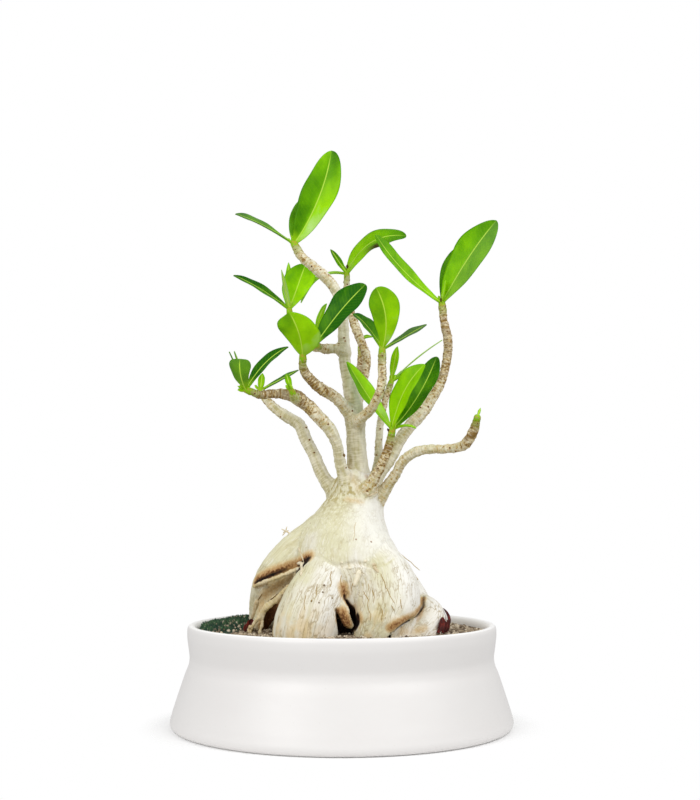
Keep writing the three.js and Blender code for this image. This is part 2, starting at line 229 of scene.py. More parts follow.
floor = new_object(
    "floor",
    [(x * FLOOR_HALF, y * FLOOR_HALF, 0) for x, y in ((-1, -1), (1, -1), (1, 1), (-1, 1))],
    [(0, 1, 2, 3)], [paper], smooth=False)
print("paper is", 2 * FLOOR_HALF, "mm wide")

# %% [markdown]
# The wood grew as one piece, so it is one surface, made from limbs. A limb is a list of
# stations, each with a place and a radius, and a smooth curve runs through them. Nearly all are
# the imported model's own stations, so the finer wood lies where the plain one did. Thick limbs
# make the caudex and its legs. Thin ones make the loose roots and the branches. The lobes are
# swellings that bulge out of the hollows: one under the brow, one inside and one at the right.

# %% The limbs
CAUDEX = {
    "body": [(8, -1, 151, 12), (8, -1, 143, 16), (8, -2, 134, 18), (5, -4, 125, 22), (3, -7, 114, 27),
             (1, -9, 103, 32.5), (4, -10, 92, 35), (4, -8, 79, 34), (4, -5, 62, 32), (4, -3, 42, 24)],
    "body_back": [(7, 1, 138, 15), (5, 6, 122, 22), (4, 11, 106, 27), (4, 15, 92, 29), (4, 16, 76, 28),
                  (4, 14, 58, 26), (4, 12, 42, 20)],
    "left_arm": [(3, -3, 126, 13), (-14, -8, 117, 13), (-29, -13, 108, 12), (-40, -15, 97, 11),
                 (-47, -13, 88, 9), (-51, -8, 77, 7), (-53, -3, 64, 5.5), (-54, 0, 42, 4)],
    "left_back": [(-6, 8, 114, 15), (-24, 15, 100, 15), (-38, 20, 84, 14), (-46, 23, 67, 12),
                  (-49, 24, 42, 8)],
    "left_bulge": [(-24, -8, 97, 10), (-35, -12, 87, 9), (-44, -12, 77, 8), (-50, -11, 65, 6),
                   (-53, -11, 44, 4)],
    "front_left": [(0, -8, 114, 16), (-6, -22, 99, 17), (-13, -34, 85, 19), (-19, -41, 71, 20),
                   (-22, -44, 57, 19), (-21, -44, 38, 12)],
    "front_right": [(13, -8, 114, 14.5), (20, -20, 100, 17.5), (27, -31, 87, 20), (27, -38, 74, 20),
                    (24, -42, 63, 17), (19, -43, 54, 12), (17, -43, 38, 8)],
    "right": [(17, -1, 114, 11), (30, -3, 98, 11), (38, -5, 86, 12), (43, -8, 75, 13), (50, -10, 65, 13),
              (53, -11, 56, 13), (52, -12, 40, 8)],
    "back_left": [(-2, 10, 114, 17), (-12, 27, 94, 19), (-20, 38, 74, 19), (-24, 43, 56, 17),
                  (-24, 44, 36, 10)],
    "back_right": [(11, 10, 114, 15), (21, 25, 96, 16), (31, 34, 76, 17), (37, 39, 57, 15),
                   (38, 40, 36, 9)],
}
LOOSE_ROOTS = {
    "rod": [(-26, -29, 99.2, 1.1), (-29.3, -30.5, 97.8, 1.35), (-34.3, -31, 95.6, 1.3),
            (-41, -30.5, 93.1, 1.25), (-47.3, -27.5, 90.6, 1.2), (-54.5, -20, 87.6, 1)],
    "lumpy": [(-32, -29, 88, 1.6), (-37.5, -31, 82.6, 2), (-40.5, -32, 80.2, 2.5), (-42.5, -32, 78.4, 1.9),
              (-45, -33, 76.4, 2.3), (-48.3, -33, 72.6, 1.6), (-51, -33, 68.7, 1.3),
              (-53.6, -32, 65.1, 1.1), (-55.7, -31, 60.2, 1), (-57, -30, 50, 1)],
    "lumpy_fork": [(-47, -33, 73.8, 1.6), (-48.2, -33, 68.7, 1.1), (-48.3, -33, 65.1, 1),
                   (-49.6, -33, 61, 0.9), (-50, -33, 50, 0.9)],
}
LOBES = {
    "brow": [(1, -41, 97, 3), (1.4, -42, 92, 3.6), (1.8, -42.4, 87, 3.2)],
    "inner_lobe": [(-4, -42, 82, 3.5), (-1.6, -46.2, 79, 3.8), (0.6, -47.6, 75.5, 3.8),
                   (1.6, -48.6, 71.6, 3.6), (3.2, -48.8, 68.4, 3), (5.2, -48, 66.4, 2)],
    "right_lobe": [(46, -13, 76, 6.5), (51, -16, 71.5, 10.5), (52.6, -20, 66, 12.5), (47.7, -29, 60.6, 12),
                   (39.4, -38, 56, 9.5), (32, -44, 53.8, 7), (28, -46, 44, 6)],
}
BRANCHES = {
    "trunk": [(10, -2, 140, 13), (10, -2, 149, 10), (10, -2, 160, 7.3), (9, -2, 179, 6.1),
              (8, -2, 197, 5.8), (5, -2, 213, 4.4), (2, -1, 229, 3.8), (1, -1, 247, 3.6), (0, 0, 262, 3.3),
              (-3, 0, 274, 3.3), (-10, 0, 284, 3.5), (-19, 0, 292, 3.3), (-26, 0, 298, 3),
              (-30, 2, 305, 2.6)],
    "front_left": [(8, -3, 192, 5), (3, -8, 198, 4), (-5, -16, 206, 3.6), (-13, -22, 210, 3.5),
                   (-20, -27, 216, 3.1), (-24, -31, 222, 2.6), (-24, -34, 227, 2.4)],
    "front_mid": [(9, -3, 190, 4.4), (12, -15, 192, 3.5), (18, -24, 197, 3), (23, -30, 206, 2.8),
                  (25, -31, 215, 2.7), (25, -31, 223, 2.6), (25, -32, 231, 2.4)],
    "back_left": [(2, -2, 236, 3.2), (-4, -2, 238, 2.9), (-10, 0, 238, 2.7), (-16, 2, 239, 2.6),
                  (-23, 7, 241, 2.4), (-29, 12, 246, 2.3), (-34, 18, 256, 2.1), (-35, 22, 265, 2.1)],
    "inner_spur": [(-10, -2, 238, 2.5), (-14, -8, 238, 2.4), (-16, -15, 238, 2.3)],
    "back_mid": [(8, -1, 199, 4), (12, 8, 211, 3), (15, 14, 224, 2.7), (16, 18, 235, 2.9),
                 (12, 22, 247, 2.9), (8, 26, 258, 3), (5, 29, 269, 2.7), (3, 32, 282, 2.4),
                 (3, 34, 291, 2.1)],
    "back_spur": [(10, 6, 207, 2.6), (10, 17, 216, 2.2), (11, 25, 226, 2.1), (12, 30, 234, 2),
                  (12, 33, 242, 1.8)],
    "left_front": [(5, -7, 144, 7), (2, -10, 154, 4.4), (-1, -13, 164, 3.6), (-3, -17, 175, 3.5),
                   (-7, -20, 184, 3.8), (-14, -22, 192, 4.1), (-22, -24, 200, 4.1), (-29, -27, 205, 3.8),
                   (-36, -30, 206, 3.2), (-44, -32, 206, 2.8), (-50, -35, 205, 2.5), (-56, -38, 207, 2.3)],
    "left_back": [(1, 2, 137, 7), (-6, 2, 147, 5), (-13, 5, 158, 4.2), (-18, 8, 170, 3.9),
                  (-23, 11, 179, 3.9), (-28, 15, 190, 3.9), (-37, 17, 196, 3.6), (-44, 20, 201, 3.2),
                  (-50, 23, 207, 2.9), (-53, 26, 212, 2.4)],
    "right": [(15, 4, 138, 9), (18.5, 6, 147, 6), (23.5, 9, 158, 4.8), (31, 11, 168, 4.2),
              (37, 13, 179, 3.9), (44, 15, 189, 4), (52, 17, 198, 4.2), (59, 19, 208, 3.6),
              (65, 21, 218, 3), (68, 22, 228, 3), (70, 24, 239, 3), (70, 25, 249, 3), (68, 27, 259, 2.7),
              (67, 29, 270, 2.6)],
    "low_front": [(13, -9, 142, 7), (17, -13, 148, 4.6), (20, -15, 154, 3.4), (24, -17, 161, 3.1),
                  (27, -19, 168, 2.8), (30, -20, 176, 2.8), (31, -22, 182, 2.4)],
    "right_bare": [(19, -3, 139, 7), (25, -7, 144.4, 4.6), (29.4, -11, 150.8, 3.5), (34, -15, 157.2, 3.2),
                   (38, -19, 165, 3.1), (45, -23, 170, 3.1), (53, -27, 172, 2.9), (62, -30, 172, 2.8),
                   (72, -33, 173, 2.9), (76, -37, 175, 3.1), (79, -41, 180, 3.1), (81, -43, 185, 2.8),
                   (82, -46, 190, 2.2)],
    "low_back": [(15, 9, 138, 7), (19, 14, 149, 3.6), (23, 18, 165, 2.6), (24, 22, 177, 2.6),
                 (25, 26, 190, 2.4), (27, 29, 201, 2.4), (29, 33, 209, 2.3), (32, 36, 218, 2.1)],
    "low_spur": [(-28, -26, 204, 3.6), (-29, -32, 204, 2.4), (-30, -34, 206, 2)],
}
print(sum(len(group) for group in (CAUDEX, LOOSE_ROOTS, LOBES, BRANCHES)), "limbs")

# %% Curves through the stations
PATH_SPACING = 2.5


def smooth_path(stations, spacing=PATH_SPACING):
    """Points and radii on a curve through the stations, about spacing mm apart."""
    s = np.asarray(stations, float)
    padded = np.vstack([2 * s[0] - s[1], s, 2 * s[-1] - s[-2]])
    gaps = np.sqrt(np.linalg.norm(np.diff(padded[:, :3], axis=0), axis=1))
    spans = []
    for i in range(len(s) - 1):
        p0, p1, p2, p3 = padded[i:i + 4]
        g0, g1, g2 = gaps[i:i + 3]
        leave = ((p1 - p0) / g0 - (p2 - p0) / (g0 + g1) + (p2 - p1) / g1) * g1
        arrive = ((p2 - p1) / g1 - (p3 - p1) / (g1 + g2) + (p3 - p2) / g2) * g1
        count = max(2, round(np.linalg.norm((p2 - p1)[:3]) / spacing))
        u = (np.arange(count) / count)[:, None]
        square = (3 * (p2 - p1) - 2 * leave - arrive) * u ** 2
        cube = (2 * (p1 - p2) + leave + arrive) * u ** 3
        spans.append(p1 + leave * u + square + cube)
    return np.vstack([*spans, s[-1:]])


def travelled(path):
    """How far along a path each of its points lies."""
    return np.concatenate([[0], np.cumsum(np.linalg.norm(np.diff(path[:, :3], axis=0), axis=1))])


print("the trunk is", round(travelled(smooth_path(BRANCHES["trunk"]))[-1]), "mm long")

# %% [markdown]
# How could the limbs become one skin? Joining tubes leaves hard seams, and metaballs swell and
# are hard to steer. A distance field is better: on a fine grid, each point gets its distance
# to the nearest limb, less than zero inside the wood. Where two limbs meet, a soft minimum
# rounds the corner between them. It is wide at the shoulders, where the legs flow together,
# and narrow lower down, where they stay apart with a dark crease between them. Deep in the
# soil the legs end on one level.

# %% The distance field
VOXEL = 0.75
FAR = 99.0
REACH = 8.0
GRID_LOW = np.array([-72.0, -74.0, 34.0])
GRID_SHAPE = np.ceil((np.array([94.0, 68.0, 317.0]) - GRID_LOW) / VOXEL).astype(int)
AXES = [(GRID_LOW[i] + VOXEL * np.arange(GRID_SHAPE[i])).astype(np.float32) for i in range(3)]
print("grid of", *GRID_SHAPE, "points")


def span(low, high):
    """The part of the grid between two corners."""
    first = np.clip(np.floor((low - GRID_LOW) / VOXEL).astype(int), 0, GRID_SHAPE)
    last = np.clip(np.ceil((high - GRID_LOW) / VOXEL).astype(int) + 1, 0, GRID_SHAPE)
    return tuple(slice(a, b) for a, b in zip(first, last))


def limb_field(path):
    """The distance to a chain of round cones along a path, and the part of the grid it fills."""
    path = path.astype(np.float32)
    widest = path[:, 3].max() + REACH
    region = span(path[:, :3].min(0) - widest, path[:, :3].max(0) + widest)
    distance = np.full([s.stop - s.start for s in region], FAR, np.float32)
    for a, b in zip(path, path[1:]):
        wide = max(a[3], b[3]) + REACH
        part = span(np.minimum(a[:3], b[:3]) - wide, np.maximum(a[:3], b[:3]) + wide)
        x, y, z = np.ix_(*[AXES[i][part[i]] for i in range(3)])
        x, y, z = x - a[0], y - a[1], z - a[2]
        run = b - a
        t = np.clip((x * run[0] + y * run[1] + z * run[2]) / (run[:3] @ run[:3]), 0, 1)
        gap = np.sqrt((x - t * run[0]) ** 2 + (y - t * run[1]) ** 2 + (z - t * run[2]) ** 2)
        local = tuple(slice(p.start - s.start, p.stop - s.start) for p, s in zip(part, region))
        distance[local] = np.minimum(distance[local], gap - a[3] - t * run[3])
    return region, distance


def soft_join(here, other, softness):
    """The smaller of two distances, with the corner between them rounded."""
    near = np.maximum(softness - np.abs(here - other), 0) / softness
    return np.minimum(here, other) - near ** 3 * softness / 6


# %% [markdown]
# The softness of each join is a length in millimetres. The caudex limbs share one that grows
# with height. Branches leave the trunk with a small flare. Loose roots and lobes wait until
# the creases are carved, because they lie in them.

# %% Join the limbs
CREASE_SOFTNESS = 3.0
SHOULDER_SOFTNESS = 6.0
CREASE_HEIGHT = 84.0
SHOULDER_HEIGHT = 112.0
BRANCH_SOFTNESS = 5.0
ROOT_SOFTNESS = 1.2
ROOT_DEPTH = 38.0

rise = np.clip((AXES[2] - CREASE_HEIGHT) / (SHOULDER_HEIGHT - CREASE_HEIGHT), 0, 1)
caudex_softness = CREASE_SOFTNESS + (SHOULDER_SOFTNESS - CREASE_SOFTNESS) * rise * rise * (3 - 2 * rise)

GROUPS = (("caudex", CAUDEX, 5.0), ("root", LOOSE_ROOTS, 2.0),
          ("lobe", LOBES, PATH_SPACING), ("branch", BRANCHES, PATH_SPACING))
limbs = [(smooth_path(stations, spacing), kind)
         for kind, group, spacing in GROUPS for stations in group.values()]

field = np.full(GRID_SHAPE, FAR, np.float32)
owner = np.zeros(GRID_SHAPE, np.int8)
for number, (path, kind) in enumerate(limbs):
    if kind in ("root", "lobe"):
        continue
    region, distance = limb_field(path)
    softness = caudex_softness[region[2]] if kind == "caudex" else BRANCH_SOFTNESS
    owner[region][distance < field[region]] = number
    field[region] = soft_join(field[region], distance, softness)
print("wood fills", (field < 0).sum(), "grid points")

# %% [markdown]
# Some creases are deeper than the limbs leave them. Each is carved out of the field along a
# path, as a knife would follow it. The pale cuts keep the colour of the bark round them: the
# ledge under the right fold, the wrinkle across the waist, and the recess at the left. The dark
# cuts are the hollow between the two front legs and the slot under the left arm. Then the roots
# and the lobes that bulge out of these hollows are added, and last the thin slits between lobe
# and lip. The distances to the nearest dark cut and to the nearest slit are kept in two grids,
# because the bark is painted near-black in both, as painted shade.

# %% The creases
PALE_CUTS = {
    "under_fold": [(54, -26, 72.4, 6), (50, -43, 66.6, 7), (43.4, -54, 63.6, 7.5), (37.2, -60, 60, 7.5),
                   (33, -61, 52, 7.5)],
    "waist": [(-9, -43.4, 103.8, 0.8), (-3, -44.6, 101.2, 1.3), (2, -44.2, 101.6, 1.4),
              (8, -43.4, 102.6, 1.2), (14, -42.6, 101.9, 1.4), (18, -43.4, 101.1, 1.3),
              (26, -43.8, 102.9, 1), (31, -40, 105.9, 0.7)],
    "recess": [(-40, -35, 79, 1.4), (-42, -34, 75.5, 2.4), (-43.6, -33, 70.5, 3.2), (-45.5, -31, 64.4, 4),
               (-46, -31, 52, 4.5)],
    "recess_back": [(-38.5, -22, 80, 1.6), (-41.5, -20, 76, 2.6), (-43.5, -18.5, 71.5, 3.4),
                    (-44.5, -15.5, 66, 4), (-45, -13, 60, 4.6)],
}
DARK_CUTS = {
    "hollow": [(1.4, -45.4, 83.6, 0.5), (2.4, -46.4, 81, 0.9), (4, -47.6, 78, 1.1), (5.4, -48.4, 75.6, 1.4),
               (6.5, -49, 73.8, 2), (7.6, -49.4, 71.8, 2.5), (8.4, -49.4, 68.8, 3), (6.2, -48.6, 66, 3),
               (3.2, -47.6, 63.8, 3), (1.4, -46.6, 61.5, 2.6), (1, -45, 57, 2.4), (1, -45, 46, 2.4)],
    "hollow_depth": [(2.2, -44, 80.4, 0.8), (3.8, -43.6, 77.6, 1.3), (6, -42.8, 73.3, 2.8),
                     (6.6, -42, 68.5, 4.4), (3.3, -40, 60, 4.6), (3.3, -40, 46, 4.6)],
    "hollow_left": [(-1.6, -47.4, 69.4, 0.8), (-0.9, -45.8, 65.8, 2.2), (0.4, -44, 61, 3),
                    (0.4, -44, 50, 3)],
    "arm_slot": [(-19.7, -37, 106.2, 0.7), (-22.6, -33.6, 103.5, 1), (-26, -29, 100.6, 1),
                 (-33.6, -26.6, 98, 0.6), (-40.8, -26, 95.6, 0.5), (-50, -22, 91.6, 0.5),
                 (-54.5, -18.6, 89.6, 0.4)],
    "arm_gap": [(-20.5, -37.5, 105.2, 0.8), (-24.6, -36, 101.6, 1.5), (-28, -34.5, 98, 2.6),
                (-31, -33.5, 93, 1.7), (-34, -33, 87.4, 1.2), (-37, -33, 82, 1.2)],
}
SLITS = {
    "fold_slit": [(50.9, -18, 82.8, 0.4), (50.3, -23.5, 79.5, 0.5), (49.8, -26.8, 76.1, 0.6),
                  (47, -31.5, 72.8, 0.6), (41, -45, 69.8, 0.5), (34.6, -54, 66.8, 0.6),
                  (29.1, -56.5, 63.3, 0.8), (27, -57, 57, 1)],
    "lobe_slit": [(-3.4, -52.6, 76.4, 0.3), (-3.1, -52.2, 73.6, 0.6), (-2.5, -51.4, 71, 0.9),
                  (-1.5, -50, 68.4, 1.3), (-0.6, -49, 65.6, 1.8), (0.4, -47.5, 62.5, 2)],
    "lobe_depth": [(-2.4, -50.2, 73.4, 0.7), (-1.8, -49, 71, 1.1), (-0.8, -47.4, 68, 1.6)],
    "fold_depth": [(48, -18, 78.5, 0.8), (46.5, -26, 72.5, 0.9), (40, -40, 68, 0.9), (33, -50, 64, 1)],
}
print(len(DARK_CUTS) + len(SLITS), "dark creases and", len(PALE_CUTS), "pale ones")

# %% Carve the creases and add the lobes
CUT_SOFTNESS = 1.6
LOBE_SOFTNESS = 2.4


def carve(paths, grid):
    """Cuts paths out of a field and returns the distance to the nearest of them."""
    nearest = np.full(GRID_SHAPE, FAR, np.float32)
    for stations in paths.values():
        region, distance = limb_field(smooth_path(stations))
        grid[region] = -soft_join(-grid[region], distance, CUT_SOFTNESS)
        nearest[region] = np.minimum(nearest[region], distance)
    return nearest


carve(PALE_CUTS, field)
carved = carve(DARK_CUTS, field)
filled = np.full(GRID_SHAPE, FAR, np.float32)
for number, (path, kind) in enumerate(limbs):
    if kind in ("root", "lobe"):
        region, distance = limb_field(path)
        filled[region] = np.minimum(filled[region], distance)
        owner[region][distance < field[region]] = number
        softness = LOBE_SOFTNESS if kind == "lobe" else ROOT_SOFTNESS
        field[region] = soft_join(field[region], distance, softness)
slits = carve(SLITS, field)
field = np.maximum(field, ROOT_DEPTH - AXES[2])
print("carved", (carved < 0).sum(), "and filled", (filled < 0).sum(), "grid points")

# %% [markdown]
# A surface net turns the field into a mesh. Every grid cell that the zero level passes
# through gets one point, at the mean of the places where the level crosses its edges, and
# every crossed edge gets one face between the four cells around it. The result is made of
# even quads, closed, and smoother than cubes cut at their corners.

# %% The surface net
CORNERS = [(i, j, k) for i in (0, 1) for j in (0, 1) for k in (0, 1)]


def shifted(grid, corner):
    """The grid's values at one corner of every cell."""
    return grid[tuple(slice(c, c + size - 1) for c, size in zip(corner, grid.shape))]


def surface_net(values):
    """Points in mm and quads on the zero level of a grid of values."""
    solid = values < 0
    inside = sum(shifted(solid, corner).astype(np.int8) for corner in CORNERS)
    cells = np.argwhere((inside > 0) & (inside < 8))
    total = np.zeros((len(cells), 3))
    hits = np.zeros(len(cells))
    for corner in CORNERS:
        for axis in range(3):
            if corner[axis]:
                continue
            other = np.array(corner)
            other[axis] = 1
            a = values[tuple((cells + corner).T)]
            b = values[tuple((cells + other).T)]
            crossed = (a < 0) != (b < 0)
            place = np.tile(np.array(corner, float), (len(cells), 1))
            place[crossed, axis] += a[crossed] / (a[crossed] - b[crossed])
            total[crossed] += place[crossed]
            hits += crossed
    points = GRID_LOW + VOXEL * (cells + total / hits[:, None])
    number = np.full(inside.shape, -1, np.int32)
    number[tuple(cells.T)] = np.arange(len(cells))
    quads = []
    for axis in range(3):
        one, two = (axis + 1) % 3, (axis + 2) % 3
        near = np.take(solid, range(values.shape[axis] - 1), axis)
        crossed = near != np.take(solid, range(1, values.shape[axis]), axis)
        edges = np.argwhere(crossed)
        turn = near[crossed]
        ring = []
        for step_one, step_two in ((1, 1), (0, 1), (0, 0), (1, 0)):
            cell = edges.copy()
            cell[:, one] -= step_one
            cell[:, two] -= step_two
            ring.append(number[tuple(cell.T)])
        ring = np.stack(ring, 1)
        ring[~turn] = ring[~turn][:, ::-1]
        quads.append(ring)
    return points, np.vstack(quads)


wood_points, wood_quads = surface_net(field)
print("wood:", len(wood_points), "points", len(wood_quads), "quads")

# %% [markdown]
# The bark's pattern follows the limbs: cracks run along the caudex, and rings run round the
# branches. So every point stores where it is on its own limb. The attribute called flow holds
# two distances from the middle of the limb and one along it, and each limb is shifted, so that
# no two have the same pattern. Girth is the limb's radius, tip the way left to the limb's end,
# and shade tells how deep in a crease the point lies. Shade comes from the field: a step away
# from a flat surface the distance has grown by that step, and in a crease it has grown less.
# Dark marks the carved creases, which the bark paints near-black as painted shade. Another
# attribute holds the ochre bark on lips and undersides together with painted shade next to the
# creases, warmth how brown each branch is from its foot to its tip, and the last how much a point
# faces the upper right, where the bark is painted lighter as a painted highlight.

# %% Frames, samples and normals
def unit(vectors):
    """Vectors of length one."""
    return vectors / np.maximum(np.linalg.norm(vectors, axis=-1, keepdims=True), 1e-9)


def limb_frames(path):
    """The tangent and two normals at each point of a path, without any twist."""
    tangent = unit(np.gradient(path[:, :3], axis=0))
    start = np.cross(tangent[0], (0.3, 1.0, 0.2))
    normal = [unit(start)]
    for t in tangent[1:]:
        normal.append(unit(normal[-1] - t * (normal[-1] @ t)))
    normal = np.array(normal)
    return tangent, normal, np.cross(tangent, normal)


def sample(values, points):
    """The value of a grid at points in mm, between its own points."""
    place = np.clip((points - GRID_LOW) / VOXEL, 0, np.array(values.shape) - 1.001)
    base = place.astype(int)
    part = place - base
    weights = [np.prod(np.where(corner, part, 1 - part), axis=1) for corner in CORNERS]
    return sum(w * values[tuple((base + corner).T)] for w, corner in zip(weights, CORNERS))


def vertex_normals(mesh):
    """The normals of a mesh's points as an array."""
    out = np.zeros(len(mesh.vertices) * 3, np.float32)
    mesh.vertex_normals.foreach_get("vector", out)
    return out.reshape(-1, 3)


# %% Where each point lies on its limb
LIMB_SHIFT = 40


def limb_attributes(points):
    """Flow, girth, tip and owning limb of points on the wood."""
    base = np.round((points - GRID_LOW) / VOXEL).astype(int)
    owners = owner[tuple(np.clip(base, 0, np.array(owner.shape) - 1).T)]
    flow = np.zeros((len(points), 3))
    girth = np.zeros(len(points))
    tip = np.full(len(points), FAR)
    for number, (path, kind) in enumerate(limbs):
        mine = np.flatnonzero(owners == number)
        if not len(mine):
            continue
        tangent, normal, across = limb_frames(path)
        run = travelled(path)
        apart = np.linalg.norm(points[mine, None, :] - path[None, :, :3], axis=2)
        nearest = apart.argmin(1)
        offset = points[mine] - path[nearest, :3]
        flow[mine, 0] = (offset * normal[nearest]).sum(1) + LIMB_SHIFT * number
        flow[mine, 1] = (offset * across[nearest]).sum(1)
        flow[mine, 2] = run[nearest] + (offset * tangent[nearest]).sum(1)
        girth[mine] = path[nearest, 3]
        if kind == "branch":
            tip[mine] = run[-1] - flow[mine, 2]
    return flow, girth, tip, owners


# %% [markdown]
# Each entry of the list below is a strength, the distance over which it fades, and a path along a
# lip or an edge. It paints partly the bark's own ochre and partly painted shade, darkest next to
# the creases. The warmth of a branch is given at four places between its foot and its tip.

# %% Stains with painted shade, and warm bark
STAINS_AND_SHADE = [
    (1.0, 6, [(-20.4, -36, 107, 0.1), (-26, -28, 102.2, 0.1), (-33, -26, 99.4, 0.1),
              (-40.5, -25.8, 97, 0.1), (-49, -22.5, 93.2, 0.1), (-53, -19.5, 91, 0.1)]),
    (0.5, 5, [(-36, -24, 90, 1), (-42, -22, 87, 2), (-48, -20, 81, 1)]),
    (0.5, 5, [(-50, -19, 77, 1), (-50, -20, 70, 2), (-50, -20, 62, 3)]),
    (1.1, 3, [(-40, -21, 79, 0.6), (-42, -19, 75.5, 2), (-44, -17, 70, 3.4), (-46, -13, 63, 5)]),
    (0.84, 3, [(50.4, -21, 80.5, 0.1), (48.6, -27.4, 77.8, 0.3), (45, -44, 74.6, 0.6),
               (39.2, -51.6, 71.7, 0.8), (33.6, -56.6, 69, 0.9), (28.6, -59, 65.8, 1)]),
    (0.74, 3.6, [(3.4, -46, 84.4, 0.2), (6, -49, 79.8, 0.4), (8.4, -51.2, 75.4, 0.4),
                 (11, -53, 70.4, 0.4)]),
    (0.86, 4.4, [(1, -51.8, 75.4, 0.2), (1.6, -52, 72, 1.2), (3.6, -51, 67.8, 1)]),
    (1.05, 3, [(-2.2, -52, 75.4, 0.1), (-1.6, -52, 72, 0.5), (-0.2, -51, 68.6, 0.8), (3, -50, 65.8, 0.4)]),
    (0.88, 6, [(0.8, -46.6, 88.6, 0.1), (1.4, -46.2, 85, 0.4)]),
    (1.0, 3, [(1.8, -46, 83.2, 0.3), (2.6, -46.4, 80.6, 0.3), (3.8, -46.6, 78, 0.3)]),
    (0.45, 4, [(36, -52, 63, 0.6), (43, -47, 63.2, 1), (50, -40, 63.6, 0.6)]),
    (0.36, 4, [(3, -18.6, 141.6, 0.3), (8, -19.6, 140.4, 0.4), (12.5, -19.6, 140, 0.3)]),
    (0.26, 6, [(6, -12.6, 156, 0.2), (10, -16, 147, 0.4)]),
    (0.24, 2.2, [(-3, -44.6, 101.2, 0.2), (2, -44.2, 101.6, 0.3), (8, -43.4, 102.6, 0.3),
                 (14, -42.6, 101.9, 0.3), (20, -43.4, 101.4, 0.2)]),
]
ROOT_STAIN = 0.3
DARK_EDGE = 0.8
DARK_CORE = 1.4
SLIT_CORE = 1.0
SHADE_STEPS = (2.5, 6.0)
# The side of the bark that faces this way, the upper right, is painted lighter as a painted highlight.
LIT_SIDE_DIRECTION = (0.8, -0.33, 0.5)
WARMTH_STEPS = (0, 0.35, 0.7, 1)
WARMTH = {
    "trunk": (0.1, 0.0, 0.15, 0.6), "front_left": (0.1, 0.45, 0.8, 0.85),
    "front_mid": (0.2, 0.45, 0.6, 0.65), "back_left": (0.2, 0.5, 0.6, 0.4),
    "inner_spur": (0.4, 0.6, 0.6, 0.6), "back_mid": (0.3, 0.6, 0.6, 0.5),
    "back_spur": (0.4, 0.6, 0.7, 0.6), "left_front": (0.05, 0.1, 0.85, 0.9),
    "left_back": (0.1, 0.0, 0.1, 0.6), "right": (0.2, 0.15, 0.72, 0.75),
    "low_front": (0.25, 0.55, 0.7, 0.65), "right_bare": (0.4, 0.35, 0.35, 1.0),
    "low_back": (0.0, 0.05, 0.35, 0.7), "low_spur": (0.5, 0.5, 0.5, 0.5)}


def branch_warmth(points, flow, owners):
    """How ochre the bark of a branch is, from values at four places between its foot and its tip."""
    warmth = np.zeros(len(points))
    first = len(limbs) - len(BRANCHES)
    for number, name in enumerate(BRANCHES, first):
        mine = owners == number
        share = flow[mine, 2] / travelled(limbs[number][0])[-1]
        warmth[mine] = np.interp(share, WARMTH_STEPS, WARMTH[name])
    return warmth


# %% Store the attributes
wood = new_object("wood", wood_points, wood_quads.tolist())
normals = vertex_normals(wood.data)
shade = np.mean([1 - np.clip(sample(field, wood_points + step * normals) / step, 0, 1)
                 for step in SHADE_STEPS], 0)
flow, girth, tip, owners = limb_attributes(wood_points)
stained_and_shaded = np.zeros(GRID_SHAPE, np.float32)
# Ochre stains that turn into painted shade next to the creases, lips and undersides.
for strength, edge, stations in STAINS_AND_SHADE:
    region, distance = limb_field(smooth_path(stations))
    stained_and_shaded[region] = np.maximum(stained_and_shaded[region], strength * np.clip(1 - distance / edge, 0, 1))
stain = sample(stained_and_shaded, wood_points)
kinds = np.array([kind for path, kind in limbs])[owners]
stain[kinds == "root"] = np.maximum(stain[kinds == "root"], ROOT_STAIN)
# Painted deep shade: the carved hollows and slits are marked for near-black, but not the lobes and roots
# that fill them.
dark = np.clip(DARK_CORE - sample(carved, wood_points) / DARK_EDGE, 0, 1)
dark = dark * np.clip(sample(filled, wood_points) / DARK_EDGE, 0, 1)
dark = np.maximum(dark, np.clip(SLIT_CORE - sample(slits, wood_points) / DARK_EDGE, 0, 1))
marks = {"flow": flow, "girth": girth, "tip": tip, "shade": shade, "stain": stain, "dark": dark,
         "warmth": branch_warmth(wood_points, flow, owners),
         "sunny": np.clip(normals @ unit(np.array(LIT_SIDE_DIRECTION)), 0, 1)}
for name, values in marks.items():
    store(wood.data, name, values)
print("stained points:", (stain > 0.5).sum(), "dark points:", (dark > 0.5).sum())

# %% [markdown]
# Bark patterns. The same small functions build a pattern in the geometry nodes, where it
# moves points, and in the material, where it picks colours, so a crack is dark exactly where it
# is deep. They follow the flow. Cells that are long and narrow along the limb give the fine
# cracks of the caudex, which run along the cells' edges, bent by a noise. A noise that is
# squashed along the limb gives the rings of the branches.

# %% Patterns that follow the limbs
CRACK_WIDTH = 1.8
CRACK_LENGTH = 10.0
CRACK_BEND = 3.2
RING_SPACING = 1.0
RING_LENGTH = 6.0


def stretched_noise(tree, vector, size, detail=2.0):
    """Noise whose features measure size, in mm, along the vector's three directions."""
    scaled = add(tree, "ShaderNodeVectorMath", {0: vector, 1: [1 / s for s in size]}, operation="MULTIPLY")
    return add(tree, "ShaderNodeTexNoise", {"Vector": scaled, "Scale": 1.0, "Detail": detail})


def noise_mask(tree, vector, size, detail, low, high, strength=1.0):
    """Soft patches: 0 where the noise is below low, and strength where it is above high."""
    noise = stretched_noise(tree, vector, size, detail)
    return add(tree, "ShaderNodeMapRange", {0: noise, 1: low, 2: high, 4: strength}, **EASE)


